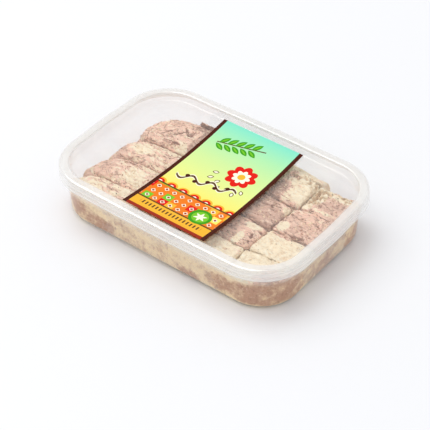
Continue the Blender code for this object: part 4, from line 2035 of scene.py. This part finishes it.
class ScatterTree(Tree):
    """Small ragged flakes strewn over the halva's open crowns, within a range of its cocoa."""

    def __init__(self) -> None:
        """Builds the tree."""
        super().__init__(
            "halva_scatter",
            PerSquareMetre=200000.0,
            Size=1.0 * MM,
            Flatness=0.4,
            Slimness=0.6,
            CocoaFrom=0.0,
            CocoaTo=1.0,
            Seed=1,
        )
        graph = self.graph
        cocoa, pressed, seed = self.named("cocoa"), self.named("pressed"), self.input("Seed")
        up = graph.add("GeometryNodeInputNormal", {}, {}, "Normal").parts()[2]
        inside = self.over(cocoa, self.input("CocoaFrom")) * self.over(self.input("CocoaTo"), cocoa)
        open_top = self.over(up, 0.25) * pressed.below(0.3)
        chosen = {"Mesh": self.input("Geometry"), "Selection": inside * open_top}
        drawn = {"Density": self.input("PerSquareMetre"), "Seed": seed}
        method = {"distribute_method": "RANDOM"}
        spots = graph.node("GeometryNodeDistributePointsOnFaces", method, {**chosen, **drawn})
        grain = graph.add("GeometryNodeMeshIcoSphere", {}, {"Radius": 0.5, "Subdivisions": 1})
        size = self.input("Size") * self.random(0.45, 1.2, 3) * self.random(0.6, 1.2, 4)
        flat, slim = self.input("Flatness"), self.input("Slimness")
        widths = {"X": size, "Y": size * slim * self.random(0.7, 1.4, 5), "Z": size * flat}
        shape = graph.add("ShaderNodeCombineXYZ", {}, widths)
        laying = {key: spots.outputs[key] for key in ("Points", "Rotation")}
        laid = graph.add("GeometryNodeInstanceOnPoints", {}, {**laying, "Instance": grain, "Scale": shape})
        turns = {"X": (-0.5, 0.5, 6), "Y": (-0.5, 0.5, 7), "Z": (0.0, math.tau, 8)}
        turn = graph.add("ShaderNodeCombineXYZ", {}, {axis: self.random(*turns[axis]) for axis in turns})
        turned = graph.add("GeometryNodeRotateInstances", {}, {"Instances": laid, "Rotation": turn})
        real = graph.add("GeometryNodeRealizeInstances", {}, {"Geometry": turned})
        place = graph.add("GeometryNodeInputPosition", {}, {})
        ragged = graph.drift(place, 0.7 * MM, self.input("Size") * 0.9) - place
        bent = graph.add("GeometryNodeSetPosition", {}, {"Geometry": real, "Offset": ragged})
        self.finish(bent)

    def over(self, value: Number, limit: Number) -> Value:
        """1 where a value is over a limit, else 0."""
        return self.graph.math("GREATER_THAN", value, limit)

    def random(self, low: float, high: float, lane: int) -> Value:
        """A random number for each flake, from its own lane.

        Args:
            low: The least.
            high: The most.
            lane: Sets it apart from the other random numbers.

        Returns:
            The number.
        """
        seed = self.input("Seed") * 10 + lane
        return self.graph.add(
            "FunctionNodeRandomValue", {"data_type": "FLOAT"}, {"Min": low, "Max": high, "Seed": seed}
        )


@dataclass(frozen=True)
class Strewn:
    """How one kind of loose bit looks and where it lies."""

    name: str
    size: float
    flatness: float
    slimness: float
    per_square_metre: float
    cocoa_from: float
    cocoa_to: float
    seed: int


class Crumb(Enum):
    """The kinds of loose bits on the halva."""

    CREAM_FLAKES = Strewn("cream_flakes", 2.3 * MM, 0.16, 0.30, 70000.0, 0.0, 1.3, 11)
    COCOA_FLAKES = Strewn("cocoa_flakes", 2.2 * MM, 0.16, 0.32, 60000.0, 0.45, 1.3, 12)
    DARK_SPECKS = Strewn("dark_specks", 0.8 * MM, 0.6, 0.8, 16000.0, 0.0, 1.3, 13)


@dataclass(frozen=True)
class HalvaMaker:
    """Makes and dresses the halva's logs, its chip and the loose bits on them."""

    filling: Filling
    finish: HalvaFinish = HalvaFinish("pulled_halva")
    crumbs: Mapping[Crumb, CrumbFinish] = field(
        default_factory=lambda: {
            Crumb.CREAM_FLAKES: CrumbFinish("cream_crumb", shade(250, 230, 200), shade(232, 204, 168)),
            Crumb.COCOA_FLAKES: CrumbFinish("cocoa_crumb", shade(206, 158, 132), shade(176, 126, 104)),
            Crumb.DARK_SPECKS: CrumbFinish("dark_crumb", shade(124, 88, 66), shade(84, 56, 42)),
        }
    )

    def build(self) -> None:
        """Builds every piece of halva and strews the bits over them."""
        relief = ReliefTree()
        finish = self.finish.make()
        made = []
        for log in self.filling.logs():
            name = log.node.replace("halva", "log")
            piece = relief.run(name, self.filling.log_mesh(log), finish)
            smooth(piece.data, 75)
            carry(piece, self.slot_for(log.cocoa), log.node)
            made.append(piece)
        broken = {"Fold": 1.6 * MM, "FoldSize": 3.0 * MM, "Fibre": 1.1 * MM, "FibreSize": 1.8 * MM}
        chip = relief.run("cocoa_chip", Chip(self.filling).mesh(), finish, **broken)
        carry(chip, "halva_cocoa", "halva_chip")
        self.strew(made)

    @staticmethod
    def slot_for(cocoa: float) -> str:
        """The record's slot for a log with a share of cocoa."""
        plain = "halva_cream" if cocoa < 0.3 else "halva_marbled"
        return "halva_cocoa" if cocoa > 0.65 else plain

    def strew(self, pieces: list[bpy.types.Object]) -> None:
        """Strews each kind of loose bit over the logs.

        Args:
            pieces: The finished logs.
        """
        scatter = ScatterTree()
        for kind in Crumb:
            strewn = kind.value
            piece = scatter.run(
                strewn.name,
                join_meshes([piece.data for piece in pieces]),
                self.crumbs[kind].make(),
                Size=strewn.size,
                Flatness=strewn.flatness,
                Slimness=strewn.slimness,
                PerSquareMetre=strewn.per_square_metre,
                CocoaFrom=strewn.cocoa_from,
                CocoaTo=strewn.cocoa_to,
                Seed=strewn.seed,
            )
            carry(piece, "halva_cocoa" if kind is not Crumb.CREAM_FLAKES else "halva_cream")


def join_meshes(meshes: list[bpy.types.Mesh]) -> bpy.types.Mesh:
    """One mesh of several, with the numbers that they keep.

    Args:
        meshes: Meshes of four-sided faces.

    Returns:
        The mesh.
    """
    points, faces = [], []
    numbers: dict[str, list[np.ndarray]] = {"cocoa": [], "pressed": []}
    start = 0
    for mesh in meshes:
        count = len(mesh.vertices)
        flat = np.empty(count * 3, np.float32)
        mesh.vertices.foreach_get("co", flat)
        points.append(flat.reshape(-1, 3))
        loops = np.empty(len(mesh.loops), np.int32)
        mesh.loops.foreach_get("vertex_index", loops)
        faces.append(loops.reshape(-1, 4) + start)
        for key, kept in numbers.items():
            values = np.empty(count, np.float32)
            mesh.attributes[key].data.foreach_get("value", values)
            kept.append(values)
        start += count
    made = bpy.data.meshes.new("ground")
    made.from_pydata(np.vstack(points).tolist(), [], np.vstack(faces).tolist())
    for key, kept in numbers.items():
        keep_number(made, key, np.concatenate(kept))
    return made


# ---------------------------------------------------------------------------------------------------- studio


@dataclass(frozen=True)
class Studio:
    """A white table, soft light and the camera."""

    floor_size: float = 6.0
    turn: float = 37.57
    rise: float = 40.62
    distance: float = 0.8832
    lens: float = 116.12
    shift_x: float = 0.0058
    shift_y: float = 0.0024
    surround: float = 0.80
    surround_seen: float = 0.96
    lamp_place: tuple[float, float, float] = (-0.99, -0.264, 2.2)
    lamp_size: float = 1.98
    lamp_power: float = 26.0

    def build(self) -> None:
        """Sets up everything that isn't the pack."""
        self.add_camera()
        self.add_floor()
        self.add_world()
        self.add_lamp()
        bpy.context.scene.view_settings.view_transform = "Standard"
        bpy.context.scene.cycles.transparent_max_bounces = 40

    def add_camera(self) -> None:
        """The camera, turned about the pack from its front and raised, looking at the pack's foot."""
        turn, rise = math.radians(self.turn), math.radians(self.rise)
        level = math.cos(rise)
        back = Vector((math.sin(turn) * level, -math.cos(turn) * level, math.sin(rise)))
        right = Vector((math.cos(turn), math.sin(turn), 0.0))
        data = bpy.data.cameras.new("camera")
        data.lens, data.sensor_width = self.lens, 36.0
        data.shift_x, data.shift_y = self.shift_x, self.shift_y
        data.clip_start = 0.01
        camera = bpy.data.objects.new("camera", data)
        axes = Matrix((right, back.cross(right), back)).transposed()
        camera.matrix_world = Matrix.Translation(back * self.distance) @ axes.to_4x4()
        bpy.context.scene.collection.objects.link(camera)
        bpy.context.scene.camera = camera

    def add_floor(self) -> None:
        """A glossy white table."""
        surface = Surface("white_table", Roughness=0.22, Specular_IOR_Level=0.35)
        place = surface.graph.place()
        tone = surface.graph.noise(place, 0.8, 1.0)
        surface.drive("Base Color", surface.graph.mix(tone, shade(239, 240, 243), shade(242, 243, 246)))
        half = self.floor_size / 2
        corners = [(-half, -half, 0), (half, -half, 0), (half, half, 0), (-half, half, 0)]
        mesh = bpy.data.meshes.new("white_table")
        mesh.from_pydata(corners, [], [(0, 1, 2, 3)])
        add_piece("white_table", mesh, surface.material)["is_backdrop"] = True

    def add_world(self) -> None:
        """An even white surround, plain white where the camera looks past the table."""
        world = bpy.data.worlds.new("surround")
        world.use_nodes = True
        graph = Graph(world.node_tree)
        background = world.node_tree.nodes["Background"]
        seen = graph.add("ShaderNodeLightPath", {}, {}, "Is Camera Ray")
        background.inputs["Color"].default_value = (1.0, 1.0, 1.0, 1.0)
        strength = self.surround + seen * (self.surround_seen - self.surround)
        graph.tree.links.new(strength.socket, background.inputs["Strength"])
        bpy.context.scene.world = world

    def add_lamp(self) -> None:
        """A square soft lamp that faces the pack."""
        data = bpy.data.lights.new("key", "AREA")
        data.size, data.energy = self.lamp_size, self.lamp_power
        lamp = bpy.data.objects.new("key", data)
        lamp.location = self.lamp_place
        lamp.rotation_euler = Vector(self.lamp_place).to_track_quat("Z", "Y").to_euler()
        bpy.context.scene.collection.objects.link(lamp)


# ------------------------------------------------------------------------------------------------------ main


def main() -> None:
    """Builds and dresses the whole pack."""
    logging.basicConfig(level=logging.INFO, format="%(name)s: %(message)s")
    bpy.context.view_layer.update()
    Studio().build()
    plan = PackPlan.from_frame()
    plastic = ClearPlastic("clear_plastic_film").make()
    tub, lid = Tub(plan), Lid(plan)
    tub.build(plastic)
    lid.build(plastic)
    Label(lid).build()
    HalvaMaker(Filling(tub)).build()


if __name__ == "__main__":
    main()
